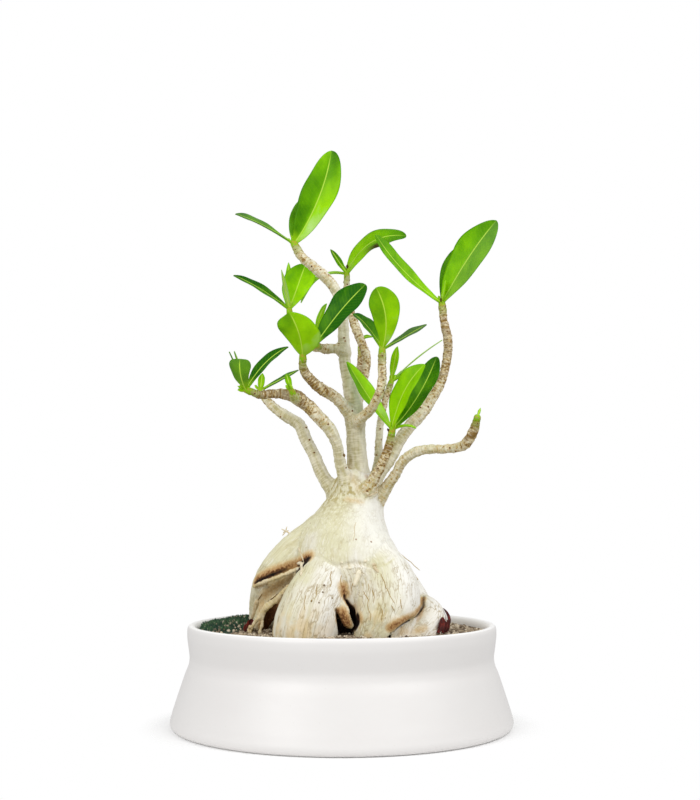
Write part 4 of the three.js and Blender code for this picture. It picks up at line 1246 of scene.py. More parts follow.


# %% [markdown]
# The tufts. Places, widths and bows are nearly those of the imported model, and two small leaves
# are new. A leaf's widest and blunt shape its outline, for both halves or for each half. Each
# leaf also has a tone at its foot and one at its end: 0 is old and dark, 1 young and light, and
# above 1 comes a painted silvery sheen, a painted highlight. Half makes one side of the midrib
# lighter than the other, as painted light and shade across the fold, and two values of it change
# that from foot to tip. Dull turns a leaf grey-green. Burnt browns one edge between two places
# along the leaf, which lie past its end where nothing else is said.

# %% The leaves of each tuft
TUFTS = {
    "crown": ("trunk", [
        leaf((-7, -2, 368), 23, (-0.15, -1, 0.1), 0.78, bow=(4, -3, -1), widest=(0.52, 0.6),
             blunt=(0.6, 0.5), end=0.48, half=(0.5, -0.3), fold=0.35),
        leaf((-25.5, 5, 337), 11, (-0.3, -1, 0.1), 0.5, bow=(-1, 0, 0), widest=0.6, blunt=0.5, end=0.3),
        leaf((-69, -6, 325), 10, (0.1, -0.6, 1), 0.6, bow=(0, 0, 2), widest=0.72, end=0.1, dull=0.6)]),
    "inner": ("inner_spur", [
        leaf((15, -22, 276), 19, (-0.4, -1, 0.4), 0.02, bow=(-1, -2, 1), widest=0.64, blunt=0.5, end=-0.05,
             half=-0.06),
        leaf((-10, -3, 267), 5.5, (0.9, -0.6, 0.1), 1.0, bow=(-2, 0, 2), end=0.7)]),
    "frontLeft": ("front_left", [
        leaf((-31.5, -54, 253.5), 24, (0.1, 1, 0.6), 1.05, bow=(2, -4, 0), widest=(0.42, 0.8),
             blunt=(0.8, 0.16), fold=0.2, wave=0.02, end=0.5, half=-0.15)]),
    "backLeft": ("back_left", [
        leaf((-25, 38, 301), 21, (-0.1, -1, 0.3), 1.0, widest=(0.58, 0.68), blunt=(0.55, 0.4), end=0.5,
             half=0.1),
        leaf((-72, 16, 289), 10, (0.2, -0.7, 1), 0.25, bow=(0, 0, 2), widest=0.55, end=0.0, half=-0.1),
        leaf((-40, 12, 292), 3.4, (0.4, -1, 0), 1.3, widest=0.4, end=1.2, dull=0.3),
        leaf((-37, 46, 303.5), 5, (-0.2, -1, 0.4), 0.9, end=0.7)]),
    "backMid": ("back_mid", [
        leaf((43, 28, 318), 17, (-0.5, -1, 0.7), 1.1, bow=(-4, -2, 8), widest=0.56, blunt=0.5, fold=0.1,
             end=0.15, burnt=(0.3, 0.8)),
        leaf((-8, 28, 309), 5, (0.5, -1, 0.2), 0.5, end=0.2),
        leaf((-28, 36, 274), 5.5, (-0.2, -0.6, 1), 1.1, bow=(-3, 2, 8), end=1.05)]),
    "backSpur": ("back_spur", [
        leaf((20, 30, 250), 5, (-0.6, -0.6, 1), 1.0, bow=(-2, 0, 2), end=0.6)]),
    "right": ("right", [
        leaf((103, 21, 327), 24, (-0.35, -1, 0.35), 0.8, bow=(-1, -3, 2), widest=0.57, fold=0.25,
             blunt=0.62, wave=0.02, end=0.4, half=0.04, dull=(0, 0.5)),
        leaf((22, 15, 316), 12.5, (0.5, -0.8, 0.5), 0.9, bow=(-3, -2, -2), widest=0.62, blunt=0.5,
             end=0.35),
        leaf((80.5, 43, 313), 14, (-0.3, -1, 0.3), 0.3, bow=(-1, 0, 0), widest=0.65, blunt=0.5, end=0.15),
        leaf((69, 23, 287), 4, (-1, -0.5, 0), 1.0)]),
    "frontMid": ("front_mid", [
        leaf((21, -48, 269.5), 18.5, (0.1, 1, 0.5), 1.0, bow=(4, -4, 0), widest=0.68, blunt=(0.5, 0.42),
             fold=0.2, end=0.4, half=-0.14),
        leaf((7, -30, 256), 14, (0.5, -0.5, 0.7), 0.3, bow=(0, 0, 3), widest=0.6, end=0.02),
        leaf((53, -26, 250), 8, (-0.4, -0.7, 1), 0.35, widest=0.65, end=0.0, dull=0.9)]),
    "lowFront": ("low_front", [
        leaf((51, -42, 223), 17, (-0.6, -1, 0.6), 0.9, bow=(-3, -3, 3), widest=0.55, end=0.66, half=0.04),
        leaf((60, -16, 231), 16, (-0.5, -1, 0.5), 0.35, bow=(2, 0, -2), widest=0.64, blunt=0.5, end=0.08),
        leaf((3, -14, 228), 14, (0.5, -0.7, 0.6), 0.95, bow=(0, 5, -1), widest=0.6, end=0.7, half=0.2),
        leaf((46, -28, 185), 4, (0, -0.3, 1), 0.9, bow=(0, 0, 2))]),
    "lowBack": ("low_back", [
        leaf((37, 33, 244), 6, (-0.5, -1, 0.1), 1.0, widest=0.6, end=0.8),
        leaf((45, 40, 229), 7, (-0.4, -0.6, 1), 1.0, widest=0.6, end=0.7),
        leaf((68, 46, 250), 1.6, (-0.4, -0.3, 1), 1.3, bow=(-1, 0, 1), wave=0.0)]),
    "rightBare": ("right_bare", [
        leaf((84, -46, 196), 1.8, (0, -1, 0), 0.7)]),
    "leftFront": ("left_front", [
        leaf((-61, -55, 225), 13, (0.1, 1, 0.6), 0.45, bow=(-1, -4, -1), widest=(0.82, 0.82),
             blunt=(0.2, 0.2), fold=0.15, wave=0.02, end=0.18, dull=0.25),
        leaf((-33, -33, 235), 9, (-0.2, -0.9, 1), 0.0, bow=(-2, 2, 3), widest=0.55, end=-0.1),
        leaf((-67, -27, 233), 3, (1, -0.4, 0.6), 0.3, dull=0.5),
        leaf((-68, -49, 230), 3, (1, 0, 0.4), 0.2, dull=0.5)]),
    "leftBack": ("left_back", [
        leaf((-53, 25, 225), 5, (-0.3, -1, 0), 0.9, end=0.6),
        leaf((-29, 24, 227), 5, (-0.2, -0.8, 1), 0.3, widest=0.6, end=0.05, dull=0.5)]),
    "leftSpur": ("low_spur", [
        leaf((-34, -38, 218), 4, (0, -1, 0), 0.95, widest=0.6, end=0.5)]),
}
print(sum(len(leaves) for branch, leaves in TUFTS.values()), "leaves")

# %% [markdown]
# Leaf materials. The upper side has a smooth, waxy skin: saturated green, darker in old
# leaves, with a soft shine and a pale yellow-green midrib. The side veins are fine and run out
# at a slant. The underside is paler and duller. Light shines through a leaf a little, which the
# shader's subsurface weight stands for. The young shoot between them has nearly the green of
# the leaf stalks.

# %% Leaf and shoot materials
VEIN_SPACING = 2.6
VEIN_SLANT = 0.75
LEAF_MOTTLE = 0.16
LIGHT_DEPTH = 1.2


def leaf_material(name, dark, middle, light, midrib, roughness, specular):
    """A leaf skin whose colour follows the leaf's tone, with its midrib and side veins."""
    made, tree, shader = start_material(name, roughness, specular)
    read = {key: add(tree, "ShaderNodeAttribute", attribute_name=key).outputs["Fac"]
            for key in ("offset", "along", "tone", "edge", "reach", "dull", "burnt")}
    place = object_mm(tree)
    cloud = stretched_noise(tree, place, (8, 8, 12), 3.0)
    cloud = add(tree, "ShaderNodeMapRange", {0: cloud, 1: 0.3, 2: 0.7, 3: -LEAF_MOTTLE, 4: LEAF_MOTTLE})
    level = add(tree, "ShaderNodeMath", {0: read["tone"], 1: cloud}, operation="ADD")
    ages_and_sheen = [add(tree, "ShaderNodeMapRange", {0: level, 1: start, 2: start + 0.5}) for start in (0, 0.5, 1)]

    from_rib = add(tree, "ShaderNodeMath", {0: read["offset"]}, operation="ABSOLUTE")
    phase = {0: from_rib, 1: -VEIN_SLANT, 2: read["along"]}
    phase = add(tree, "ShaderNodeMath", phase, operation="MULTIPLY_ADD")
    wobble = {0: stretched_noise(tree, place, (7, 7, 7), 1.0), 1: 1.6, 2: phase}
    wobble = add(tree, "ShaderNodeMath", wobble, operation="MULTIPLY_ADD")
    turn = add(tree, "ShaderNodeMath", {0: wobble, 1: math.pi / VEIN_SPACING}, operation="MULTIPLY")
    vein = add(tree, "ShaderNodeMath", {0: turn}, operation="SINE")
    vein = add(tree, "ShaderNodeMath", {0: vein}, operation="ABSOLUTE")
    vein = add(tree, "ShaderNodeMapRange", {0: vein, 1: 0.16, 2: 0.0}, **EASE)
    near_edge = add(tree, "ShaderNodeMapRange", {0: read["edge"], 1: 0.95, 2: 0.6}, **EASE)
    vein = add(tree, "ShaderNodeMath", {0: vein, 1: near_edge}, operation="MULTIPLY")
    rib = add(tree, "ShaderNodeMapRange", {0: from_rib, 1: 0.5, 2: 0.16}, **EASE)
    thin_end = add(tree, "ShaderNodeMapRange", {0: read["reach"], 1: 0.99, 2: 0.8, 3: 0.15, 4: 0.95}, **EASE)
    stalk = add(tree, "ShaderNodeMapRange", {0: read["along"], 1: 9.0, 2: 2.0, 4: 0.85}, **EASE)
    rim = add(tree, "ShaderNodeMapRange", {0: read["edge"], 1: 0.9, 2: 0.99, 4: 0.35}, **EASE)
    # Tones above 1 are painted as a silvery sheen, a painted highlight; the tone also carries the painted
    # light and shade of the halves.
    tone = coats(tree, dark, [
        (middle, ages_and_sheen[0]), (light, ages_and_sheen[1]), ("#BEDD8E", ages_and_sheen[2]), ("#5F7F4A", read["dull"], 0.7),
        (light, vein, 0.25), ("#93C80C", stalk), (midrib, rib, thin_end), (dark, rim),
        ("#3A1E0C", read["burnt"])])
    pores = stretched_noise(tree, place, (0.7, 0.7, 0.7))
    bumps = add(tree, "ShaderNodeMath", {0: vein, 1: -0.8, 2: pores}, operation="MULTIPLY_ADD")
    skin(tree, shader, tone, bumps, 0.35, 0.2)
    shader.inputs["Subsurface Weight"].default_value = 0.12
    shader.inputs["Subsurface Radius"].default_value = (0.6, 1.0, 0.2)
    shader.inputs["Subsurface Scale"].default_value = LIGHT_DEPTH * MM
    return made


def shoot_material():
    """The green skin of a young shoot, with a little ochre at its foot."""
    made, tree, shader = start_material("green shoot", 0.45, 0.15)
    noise = stretched_noise(tree, object_mm(tree), (1.5, 1.5, 2.5), 3.0)
    mask = add(tree, "ShaderNodeMapRange", {0: noise, 1: 0.42, 2: 0.62}, **EASE)
    skin(tree, shader, coats(tree, "#84BC0C", [("#A8A032", mask)]), noise, 0.3, 0.2)
    return made


leaf_upper = leaf_material("waxy leaf upper side", "#1F5F00", "#62A300", "#97D600", "#B8DC4E", 0.35, 0.07)
leaf_under = leaf_material("dull leaf underside", "#3C7010", "#6DA804", "#97D204", "#BCE04C", 0.5, 0.06)
green_shoot = shoot_material()
print("leaf materials:", leaf_upper.name, "and", leaf_under.name)

# %% [markdown]
# Each tuft is one mesh: a short shoot on the end of its branch, a ring of tiny unopened
# leaves at the growing point, and the leaves themselves. The shoot starts a little inside the
# branch, so that no gap shows between them, and narrows to its tip. The bare branch at the
# right has only a bud.

# %% Build the tufts
SHOOT_LENGTH = 5.0
SHOOT_SIDES = 14
SHOOT_ROOT = 1.2
SHOOT_PROFILE = ((0.2, 1.0), (0.5, 0.93), (0.8, 0.82), (1.0, 0.6), (1.1, 0.2))
BUD_SHARE = 0.4
NEST_LEAVES = 3
NEST_HEIGHT = 4.5
NEST_WIDTH = 2.2
NEST_ANGLE = 25
NEST_DROP = 1.5
NEST_FOOT = 0.2
NEST_SPREAD = 0.9
NEST_BOW = 0.6
ASKEW = (0.2, 1.0, 0.1)
BARE_WIDTH = 3.0


def tube(path, sides):
    """The points and faces of a closed round tube along a path of points and radii."""
    tangent, normal, across = limb_frames(path)
    angle = 2 * np.pi * np.arange(sides) / sides
    ring = np.cos(angle)[:, None] * normal[:, None, :] + np.sin(angle)[:, None] * across[:, None, :]
    points = (path[:, None, :3] + ring * path[:, None, 3:]).reshape(-1, 3)
    return points, wall_faces(len(path), sides)


def join_parts(parts):
    """One set of points, faces, attributes and slots from several."""
    points = np.vstack([part[0] for part in parts])
    faces, slots, start = [], [], 0
    for part in parts:
        faces += [tuple(i + start for i in face) for face in part[1]]
        slots += list(part[3])
        start += len(part[0])
    attributes = {}
    for key in sorted({key for part in parts for key in part[2]}):
        attributes[key] = np.concatenate([part[2].get(key, np.zeros(len(part[0]))) for part in parts])
    return points, faces, attributes, slots


def tuft_object(name, branch, leaves):
    """A tuft's shoot, its nest of tiny leaves and its leaves as one object."""
    before, end = np.array(BRANCHES[branch][-2:], float)
    way = unit(end[:3] - before[:3])
    radius = end[3]
    bare = max(shape["wide"] for shape in leaves) < BARE_WIDTH
    reach = SHOOT_LENGTH * (BUD_SHARE if bare else 1.0)
    stations = [(-SHOOT_ROOT, 1.0), *[(run * reach, part) for run, part in SHOOT_PROFILE]]
    path = np.array([[*(end[:3] + way * run), radius * part] for run, part in stations])
    points, faces = tube(path, SHOOT_SIDES)
    parts = [(points, faces, {}, [2] * len(faces))]
    neck = end[:3] + way * (reach / 2)
    for shape in leaves:
        parts.append(blade(neck, shape))
    side = unit(np.cross(way, ASKEW))
    other = np.cross(way, side)
    for turn in range(0 if bare else NEST_LEAVES):
        angle = math.radians(NEST_ANGLE + 360 * turn / NEST_LEAVES)
        out = side * math.cos(angle) + other * math.sin(angle)
        foot = end[:3] + way * (SHOOT_LENGTH - NEST_DROP) + out * radius * NEST_FOOT
        tip = foot + way * NEST_HEIGHT + out * NEST_SPREAD
        small = leaf(tip, NEST_WIDTH, -out, 1.0, wave=0.0, bow=out * NEST_BOW, widest=0.45)
        parts.append(blade(foot, small))
    points, faces, attributes, slots = join_parts(parts)
    return new_object(name, points, faces, [leaf_upper, leaf_under, green_shoot], attributes, slots=slots)


tufts = {place: tuft_object("tuft_" + place, *TUFTS[place]) for place in TUFTS}
print(len(tufts), "tufts")

# %% [markdown]
# Small things make the foot of an old plant: thin roots that lie on the bark, a stub where one
# broke off, raised cracks, pores, papery red-brown sheaths where a root splits, and dry buds
# between the leaves. They were read off the photo, so their places are given in its pixels. A
# ray from the camera through a pixel finds the point of the bark that shows there. Where
# nothing lies behind the pixel, a third number gives the depth. A strand also has a tone, from
# 0 for straw to 1 for dark brown, and its two radii.

# %% Roots, cracks, pores and buds, in pixels
CRACK_TONE = 0.52
CRACK_THICK = 0.27
CRACK_THIN = 0.18
STRANDS = [
    (-0.1, 1.7, 1.3, [(359.5, 570.5), (357.5, 577), (354.2, 586.5)]),
    (0.25, 1.2, 0.8, [(373.5, 563), (374.5, 568), (378.5, 572.5)]),
    (0.25, 0.32, 0.24, [(397, 553, -14), (402, 555, -14), (407, 559.5, -14), (411, 562, -14),
                        (414, 565.5, -14), (420, 570.5, -14)]),
    (0.3, 0.7, 0.4, [(415.5, 577, -20), (418, 580, -18)]),
    (0.2, 0.7, 0.5, [(298.6, 547.5), (301, 554), (304, 561.8)]),
    (0.1, 1.2, 0.8, [(297.5, 563.5), (301.5, 563), (302, 569), (300.8, 575.5)]),
    (0.2, 0.6, 0.5, [(304, 561.8), (302, 566)]), (0.0, 1.3, 1.1, [(297, 568), (298.2, 569.6)]),
    (0.3, 0.9, 0.6, [(266, 583), (268, 588)]),
    (0.35, 1.7, 1.1, [(257.5, 600), (256, 607), (254, 614), (251.5, 622), (248.5, 633)]),
    (0.75, 0.35, 0.3, [(262, 594), (258, 600), (256, 606)]),
    (0.9, 0.4, 0.3, [(278.5, 593.5), (273, 598), (267.5, 602)]),
    (0.2, 0.7, 0.35, [(293, 535.5, -15), (287.5, 532, -14), (281.5, 529, -14)]),
    (0.2, 0.4, 0.35, [(282.5, 535.5, -14), (285.5, 531.5, -14), (287, 526.5, -14)]),
    (0.35, 0.35, 0.4, [(283, 532.5, -14), (288.5, 530.5, -14)]),
    (0.2, 0.24, 0.2, [(355.8, 522), (354.2, 528), (354.8, 534), (353, 541)]),
    (0.75, 1.2, 0.9, [(343.2, 454), (344.6, 456.6)]),
    (0.25, 0.5, 0.4, [(364.5, 486), (364.5, 492), (369, 496), (374.5, 493.5), (377, 488)]),
    (0.85, 0.8, 0.4, [(324, 584.5), (324.4, 586)]), (0.85, 0.7, 0.4, [(323, 591.5), (322.6, 593)]),
    (0.8, 0.6, 0.4, [(332, 597.5), (332.2, 599)]), (0.65, 0.7, 0.5, [(312, 600), (311, 602)]),
    (0.85, 0.6, 0.4, [(319, 602), (319, 603.5)]), (0.0, 0.9, 0.7, [(341, 562.5), (343, 562.8)]),
    (0.0, 1.0, 0.8, [(348, 568), (352, 568.5)]), (0.0, 0.9, 0.7, [(364, 561.5), (367, 561)]),
    (1.0, 0.9, 0.6, [(347, 268, 33), (347.2, 264.5, 32)]),
    (1.0, 0.8, 0.5, [(441, 302, 26), (441, 297.5, 25)]),
    (1.0, 0.9, 0.6, [(389, 431.5, -23), (387.5, 428.5, -24)]),
]
CRACKS = [
    [(381, 573.7), (382.4, 578), (384.6, 582), (385.4, 586.5), (388.6, 592), (389.8, 595.5), (392.6, 600),
     (394.7, 603.6)],
    [(363.4, 591.4), (365.6, 595.5), (368.6, 599.5), (367.6, 605), (368.4, 610), (370.8, 614), (370, 622)],
    [(381.3, 608), (382.8, 613), (381.2, 617), (381.8, 622)],
    [(368.4, 583.5), (369, 588), (367.8, 592)], [(352.9, 583), (351.4, 588), (352.2, 592)],
    [(391.4, 605.5), (393, 608.4), (395, 611.5)], [(400.4, 599), (400.8, 604), (402.4, 610)],
    [(372, 590), (374.4, 596), (373.5, 603)],
    [(331.5, 571), (330, 577), (331.6, 583), (329.8, 588)],
    [(317.5, 584), (316, 590), (316.8, 596)], [(306, 595), (304, 603), (304.6, 610)],
    [(341.5, 575), (340.4, 580), (341.4, 586)],
]
SHEATHS = [
    ((444, 632, -26), (443.4, 608.5, -22), 1.9, (3.2, -1, 0)),
    ((438, 633, -36), (442.5, 617.5, -31), 3.8, (0.4, -1, 0)),
    ((442.5, 633, -31), (444.5, 621, -27), 3.4, (0.4, -1, 0)),
    ((446.5, 633, -20), (447, 620, -17), 2.4, (0.6, 0, 0)),
    ((249.5, 634, -24), (252.5, 619.5, -20), 4.6, (-1, -1, 0)),
    ((246, 634, -18), (247.5, 624, -14), 3.6, (-0.5, 0, 0)),
]
print(len(STRANDS), "strands,", len(CRACKS), "cracks and", len(SHEATHS), "sheaths")

# %% From pixels to the bark
STRAND_STEP = 2.0
STRAND_SPACING = 0.8
STRAND_SIDES = 8


def on_wood(u, v, depth=None):
    """The point in mm that shows at a pixel: on the bark, or where the ray reaches a given depth."""
    tilt = math.radians(PITCH)
    ahead = Vector((0, math.cos(tilt), math.sin(tilt)))
    above = Vector((0, -math.sin(tilt), math.cos(tilt)))
    way = ahead * PIXELS_FOCAL + above * (PHOTO_HEIGHT / 2 - v) + Vector((u - PHOTO_WIDTH / 2, 0, 0))
    if depth is not None:
        return np.array(EYE + way * ((depth - EYE.y) / way.y))
    place = wood_tree.ray_cast(EYE * MM, way.normalized())[0]
    return np.array(place) / MM


def strand(stations, thick, thin):
    """The points and faces of a root that follows pixels over the bark."""
    pixels = np.array(stations, float)
    run = travelled(pixels[:, :2])
    steps = np.linspace(0, run[-1], max(3, round(run[-1] / STRAND_STEP) + 1))
    pixels = np.stack([np.interp(steps, run, column) for column in pixels.T], 1)
    radius = thick + (thin - thick) * steps / steps[-1]
    radius[[0, -1]] *= 0.5
    path = np.array([[*on_wood(*pixel), size] for pixel, size in zip(pixels, radius)])
    return tube(smooth_path(path, STRAND_SPACING), STRAND_SIDES)


# %% Dry root and sheath materials
def dry_root_material():
    """Thin dry roots: straw, ochre or dark brown, as their tone says."""
    made, tree, shader = start_material("dry root skin", 0.85, 0.2)
    read = add(tree, "ShaderNodeAttribute", attribute_name="tone").outputs["Fac"]
    noise = stretched_noise(tree, object_mm(tree), (1.2, 1.2, 2.5), 3.0)
    level = add(tree, "ShaderNodeMath", {0: noise, 1: 0.5, 2: read}, operation="MULTIPLY_ADD")
    low = add(tree, "ShaderNodeMapRange", {0: level, 1: 0.2, 2: 0.75})
    high = add(tree, "ShaderNodeMapRange", {0: level, 1: 0.75, 2: 1.25})
    skin(tree, shader, coats(tree, "#EFE7CF", [("#AE935C", low), ("#43200D", high)]), noise, 0.4, 0.2)
    return made


def sheath_material():
    """Papery bark that has curled and dried dark red."""
    made, tree, shader = start_material("dry red sheath", 0.6, 0.3)
    noise = stretched_noise(tree, object_mm(tree), (1.5, 1.5, 4), 3.0)
    mask = add(tree, "ShaderNodeMapRange", {0: noise, 1: 0.4, 2: 0.65}, **EASE)
    skin(tree, shader, coats(tree, "#3C0905", [("#6A1B10", mask)]), noise, 0.4, 0.3)
    return made


# %% Build the strands and the sheaths
parts = []
cracks = [(CRACK_TONE, CRACK_THICK, CRACK_THIN, line) for line in CRACKS]
for tone, thick, thin, stations in STRANDS + cracks:
    points, faces = strand(stations, thick, thin)
    parts.append((points, faces, {"tone": np.full(len(points), tone)}, [0] * len(faces)))
points, faces, attributes, slots = join_parts(parts)
strands = new_object("bark_strands", points, faces, [dry_root_material()], attributes)
parts = []
for foot, tip, wide, bow in SHEATHS:
    curled = leaf(on_wood(*tip), wide, (0.2, -1, 0.2), 0.0, bow=bow, fold=0.7, wave=0.08, blunt=0.5)
    points, faces, attributes, slots = blade(on_wood(*foot), curled)
    parts.append((points, faces, {}, [0] * len(faces)))
points, faces, attributes, slots = join_parts(parts)
sheaths = new_object("dry_sheaths", points, faces, [sheath_material()])
print("strands have", len(strands.data.polygons), "faces, sheaths", len(sheaths.data.polygons))

# %% [markdown]
# The pot was thrown or cast in one piece and glazed white. A body of revolution is an outline
# turned round an axis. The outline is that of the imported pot, cut into short steps and eased,
# so that every corner has the soft radius that glaze leaves, and turned in many more steps.

# %% The pot's outline
POT_STEPS = 160
POT_EASE = 2
OUTLINE_STEP = 1.1
POT = [(8, 3), (84, 3), (86, 0), (99, 0), (104.4, 0.2), (106.6, 1.4), (107.3, 4), (105.4, 11), (101.2, 24),
       (98.2, 33), (95.9, 38.5), (95.2, 43), (96.2, 50), (97, 56), (97, 61.7), (95.8, 63.2), (92.8, 63.2),
       (91.4, 61.2), (90, 43), (93, 33), (99.2, 20), (101.2, 11.5), (96.8, 8), (8, 7.5)]


def eased_outline(outline, step, rounds):
    """A closed outline in short steps, with its corners eased."""
    corners = np.array([*outline, outline[0]], float)
    dense = []
    for a, b in zip(corners, corners[1:]):
        count = max(1, round(np.linalg.norm(b - a) / step))
        dense += [a + (b - a) * i / count for i in range(count)]
    dense = np.array(dense)
    for _ in range(rounds):
        dense = dense / 2 + (np.roll(dense, 1, 0) + np.roll(dense, -1, 0)) / 4
    return dense


def turned(outline, steps):
    """The points and quads of a closed outline of (radius, height) turned round the Z axis."""
    angle = 2 * np.pi * np.arange(steps) / steps
    points = np.array([(r * math.cos(a), r * math.sin(a), z) for a in angle for r, z in outline])
    count = len(outline)
    faces = []
    for step in range(steps):
        for i in range(count):
            j = (i + 1) % count
            here, there = step * count, (step + 1) % steps * count
            faces.append((here + i, there + i, there + j, here + j))
    return points, faces


# %% The glazed pot
INNER_RIM = (96.4, 95.6)
RIM_HEIGHT = (56.0, 58.0)
GLAZE_SPECK = 6.0


def ceramic_material():
    """Satin glazed stoneware with a soft shine, and a painted highlight that makes the inner wall and the
    top of the rim nearly white.
    """
    made, tree, shader = start_material("satin glazed stoneware", 0.4, 0.45)
    place = object_mm(tree)
    cloud = stretched_noise(tree, place, (45, 45, 30), 3.0)
    specks = add(tree, "ShaderNodeTexVoronoi", {"Vector": place, "Scale": 1 / GLAZE_SPECK})
    specks = {0: specks.outputs["Distance"], 1: 0.02, 2: 0.06, 3: 0.25, 4: 0.0}
    specks = add(tree, "ShaderNodeMapRange", specks)
    flat = add(tree, "ShaderNodeVectorMath", {0: place, 1: (1.0, 1.0, 0.0)}, operation="MULTIPLY")
    from_axis = add(tree, "ShaderNodeVectorMath", {0: flat}, operation="LENGTH").outputs["Value"]
    # Painted highlight: the inner wall and the top of the rim are painted nearly white.
    inside = add(tree, "ShaderNodeMapRange", {0: from_axis, 1: INNER_RIM[0], 2: INNER_RIM[1]})
    high = add(tree, "ShaderNodeSeparateXYZ", {0: place}).outputs[2]
    high = add(tree, "ShaderNodeMapRange", {0: high, 1: RIM_HEIGHT[0], 2: RIM_HEIGHT[1]})
    tone = coats(tree, "#EAE8E6", [("#E4E1DF", cloud), ("#B9AFA6", specks), ("#FDFCFB", inside, high)])
    uneven = stretched_noise(tree, place, (14, 14, 9))
    pits = stretched_noise(tree, place, (0.8, 0.8, 0.8), 1.0)
    bumps = add(tree, "ShaderNodeMath", {0: pits, 1: 0.05, 2: uneven}, operation="MULTIPLY_ADD")
    skin(tree, shader, tone, bumps, 0.25, 0.5)
    sheen = add(tree, "ShaderNodeMapRange", {0: cloud, 1: 0.3, 2: 0.7, 3: 0.36, 4: 0.46})
    tree.links.new(sheen.outputs[0], shader.inputs["Roughness"])
    return made


pot_points, pot_faces = turned(eased_outline(POT, OUTLINE_STEP, POT_EASE), POT_STEPS)
pot = new_object("pot_body", pot_points, pot_faces, [ceramic_material()])
print("pot has", len(pot_faces), "quads")

# %% [markdown]
# Potting soil fills the pot to just under the rim. It is a closed body whose top is a fine
# polar grid, so a node group can heap and pit it. Where moss grows, the ground is raised in a
# low cushion. The same grid stores how mossy each point is and whether it is clear of the
# wood, because no crumb should lie inside a root.

# %% The soil
SOIL_RINGS = 64
SOIL_STEPS = 150
SOIL_EDGE = 58.5
SOIL_CROWN = 61.0
SOIL_RADIUS = 89.6
SOIL_WALL = [(SOIL_RADIUS, 43), (92.6, 33), (98.8, 20), (100.8, 11.9), (96.5, 8.35), (0, 8.5)]
MOSS_SPOTS = [(-72, 6, 26, 5.0), (-60, 38, 22, 4.5), (-78, -20, 16, 2.5), (30, 70, 24, 3.0)]


def soil_body():
    """The soil's points, faces, moss and top marks."""
    radii = [SOIL_RADIUS * i / SOIL_RINGS for i in range(1, SOIL_RINGS + 1)]
    profile = [(r, SOIL_CROWN + (SOIL_EDGE - SOIL_CROWN) * (r / SOIL_RADIUS) ** 2) for r in radii]
    profile += SOIL_WALL[:-1]
    angle = 2 * np.pi * np.arange(SOIL_STEPS) / SOIL_STEPS
    points = [(0, 0, SOIL_CROWN)]
    points += [(r * math.cos(a), r * math.sin(a), z) for r, z in profile for a in angle]
    points.append((0, 0, SOIL_WALL[-1][1]))
    points = np.array(points)
    top = np.zeros(len(points))
    top[:1 + (SOIL_RINGS - 1) * SOIL_STEPS] = 1
    faces = [(0, 1 + i, 1 + (i + 1) % SOIL_STEPS) for i in range(SOIL_STEPS)]
    for row in range(len(profile) - 1):
        for i in range(SOIL_STEPS):
            a = 1 + row * SOIL_STEPS + i
            b = 1 + row * SOIL_STEPS + (i + 1) % SOIL_STEPS
            faces.append((a, a + SOIL_STEPS, b + SOIL_STEPS, b))
    last = 1 + (len(profile) - 1) * SOIL_STEPS
    faces += [(len(points) - 1, last + (i + 1) % SOIL_STEPS, last + i) for i in range(SOIL_STEPS)]
    moss = np.zeros(len(points))
    for x, y, size, high in MOSS_SPOTS:
        apart = np.hypot(points[:, 0] - x, points[:, 1] - y) / size
        moss = np.maximum(moss, np.clip(1 - apart ** 2, 0, 1) * top)
        points[:, 2] += high * np.clip(1 - apart ** 2, 0, 1) ** 0.8 * top
    clear = np.clip(sample(field, points) - 0.5, 0, 1) * top
    return points, faces, {"moss": moss, "clear": clear, "top": top}


points, faces, marks = soil_body()
soil_plain = new_object("soil_plain", points, faces, attributes=marks)
print("soil has", len(faces), "faces")

# %% The soil's heaps and colour
SOIL_BIT = 2.8


def soil_material():
    """Damp peat with bark crumbs, green-grey under the moss."""
    made, tree, shader = start_material("damp potting soil", 0.92, 0.2)
    place = object_mm(tree)
    crumbs = stretched_noise(tree, place, (3, 3, 3), 5.0)
    mask = add(tree, "ShaderNodeMapRange", {0: crumbs, 1: 0.4, 2: 0.62}, **EASE)
    bits = add(tree, "ShaderNodeTexVoronoi", {"Vector": place, "Scale": 1 / SOIL_BIT})
    pale = add(tree, "ShaderNodeSeparateColor", {0: bits.outputs["Color"]})
    pale = add(tree, "ShaderNodeMapRange", {0: pale, 1: 0.86, 2: 0.9, 4: 0.7})
    mossy = add(tree, "ShaderNodeAttribute", attribute_name="moss").outputs["Fac"]
    mossy = add(tree, "ShaderNodeMapRange", {0: mossy, 1: 0.02, 2: 0.25}, **EASE)
    tone = coats(tree, "#524437", [("#97846C", mask), ("#B8A384", pale), ("#2F4033", mossy)])
    skin(tree, shader, tone, crumbs, 0.8, 0.8)
    return made


HEAPS = {"Heaps": 2.2, "Clods": 1.4, "Soil": soil_material()}
heap_tree, given = new_group("soil_heaps", HEAPS)
place = in_mm(heap_tree, add(heap_tree, "GeometryNodeInputPosition"))
heaps = both_ways(heap_tree, place, (16, 16, 16), 2.0)
clods = both_ways(heap_tree, place, (4, 4, 4), 3.0)
height = add(heap_tree, "ShaderNodeMath", {0: heaps, 1: given["Heaps"]}, operation="MULTIPLY")
height = {0: clods, 1: given["Clods"], 2: height}
height = add(heap_tree, "ShaderNodeMath", height, operation="MULTIPLY_ADD")
top_in = add(heap_tree, "GeometryNodeInputNamedAttribute", {"Name": "top"}, data_type="FLOAT")
height = add(heap_tree, "ShaderNodeMath", {0: height, 1: top_in}, operation="MULTIPLY")
height = add(heap_tree, "ShaderNodeMath", {0: height, 1: MM}, operation="MULTIPLY")
lift = add(heap_tree, "ShaderNodeCombineXYZ", {2: height})
heaped = add(heap_tree, "GeometryNodeSetPosition", {"Geometry": given["Geometry"], "Offset": lift})
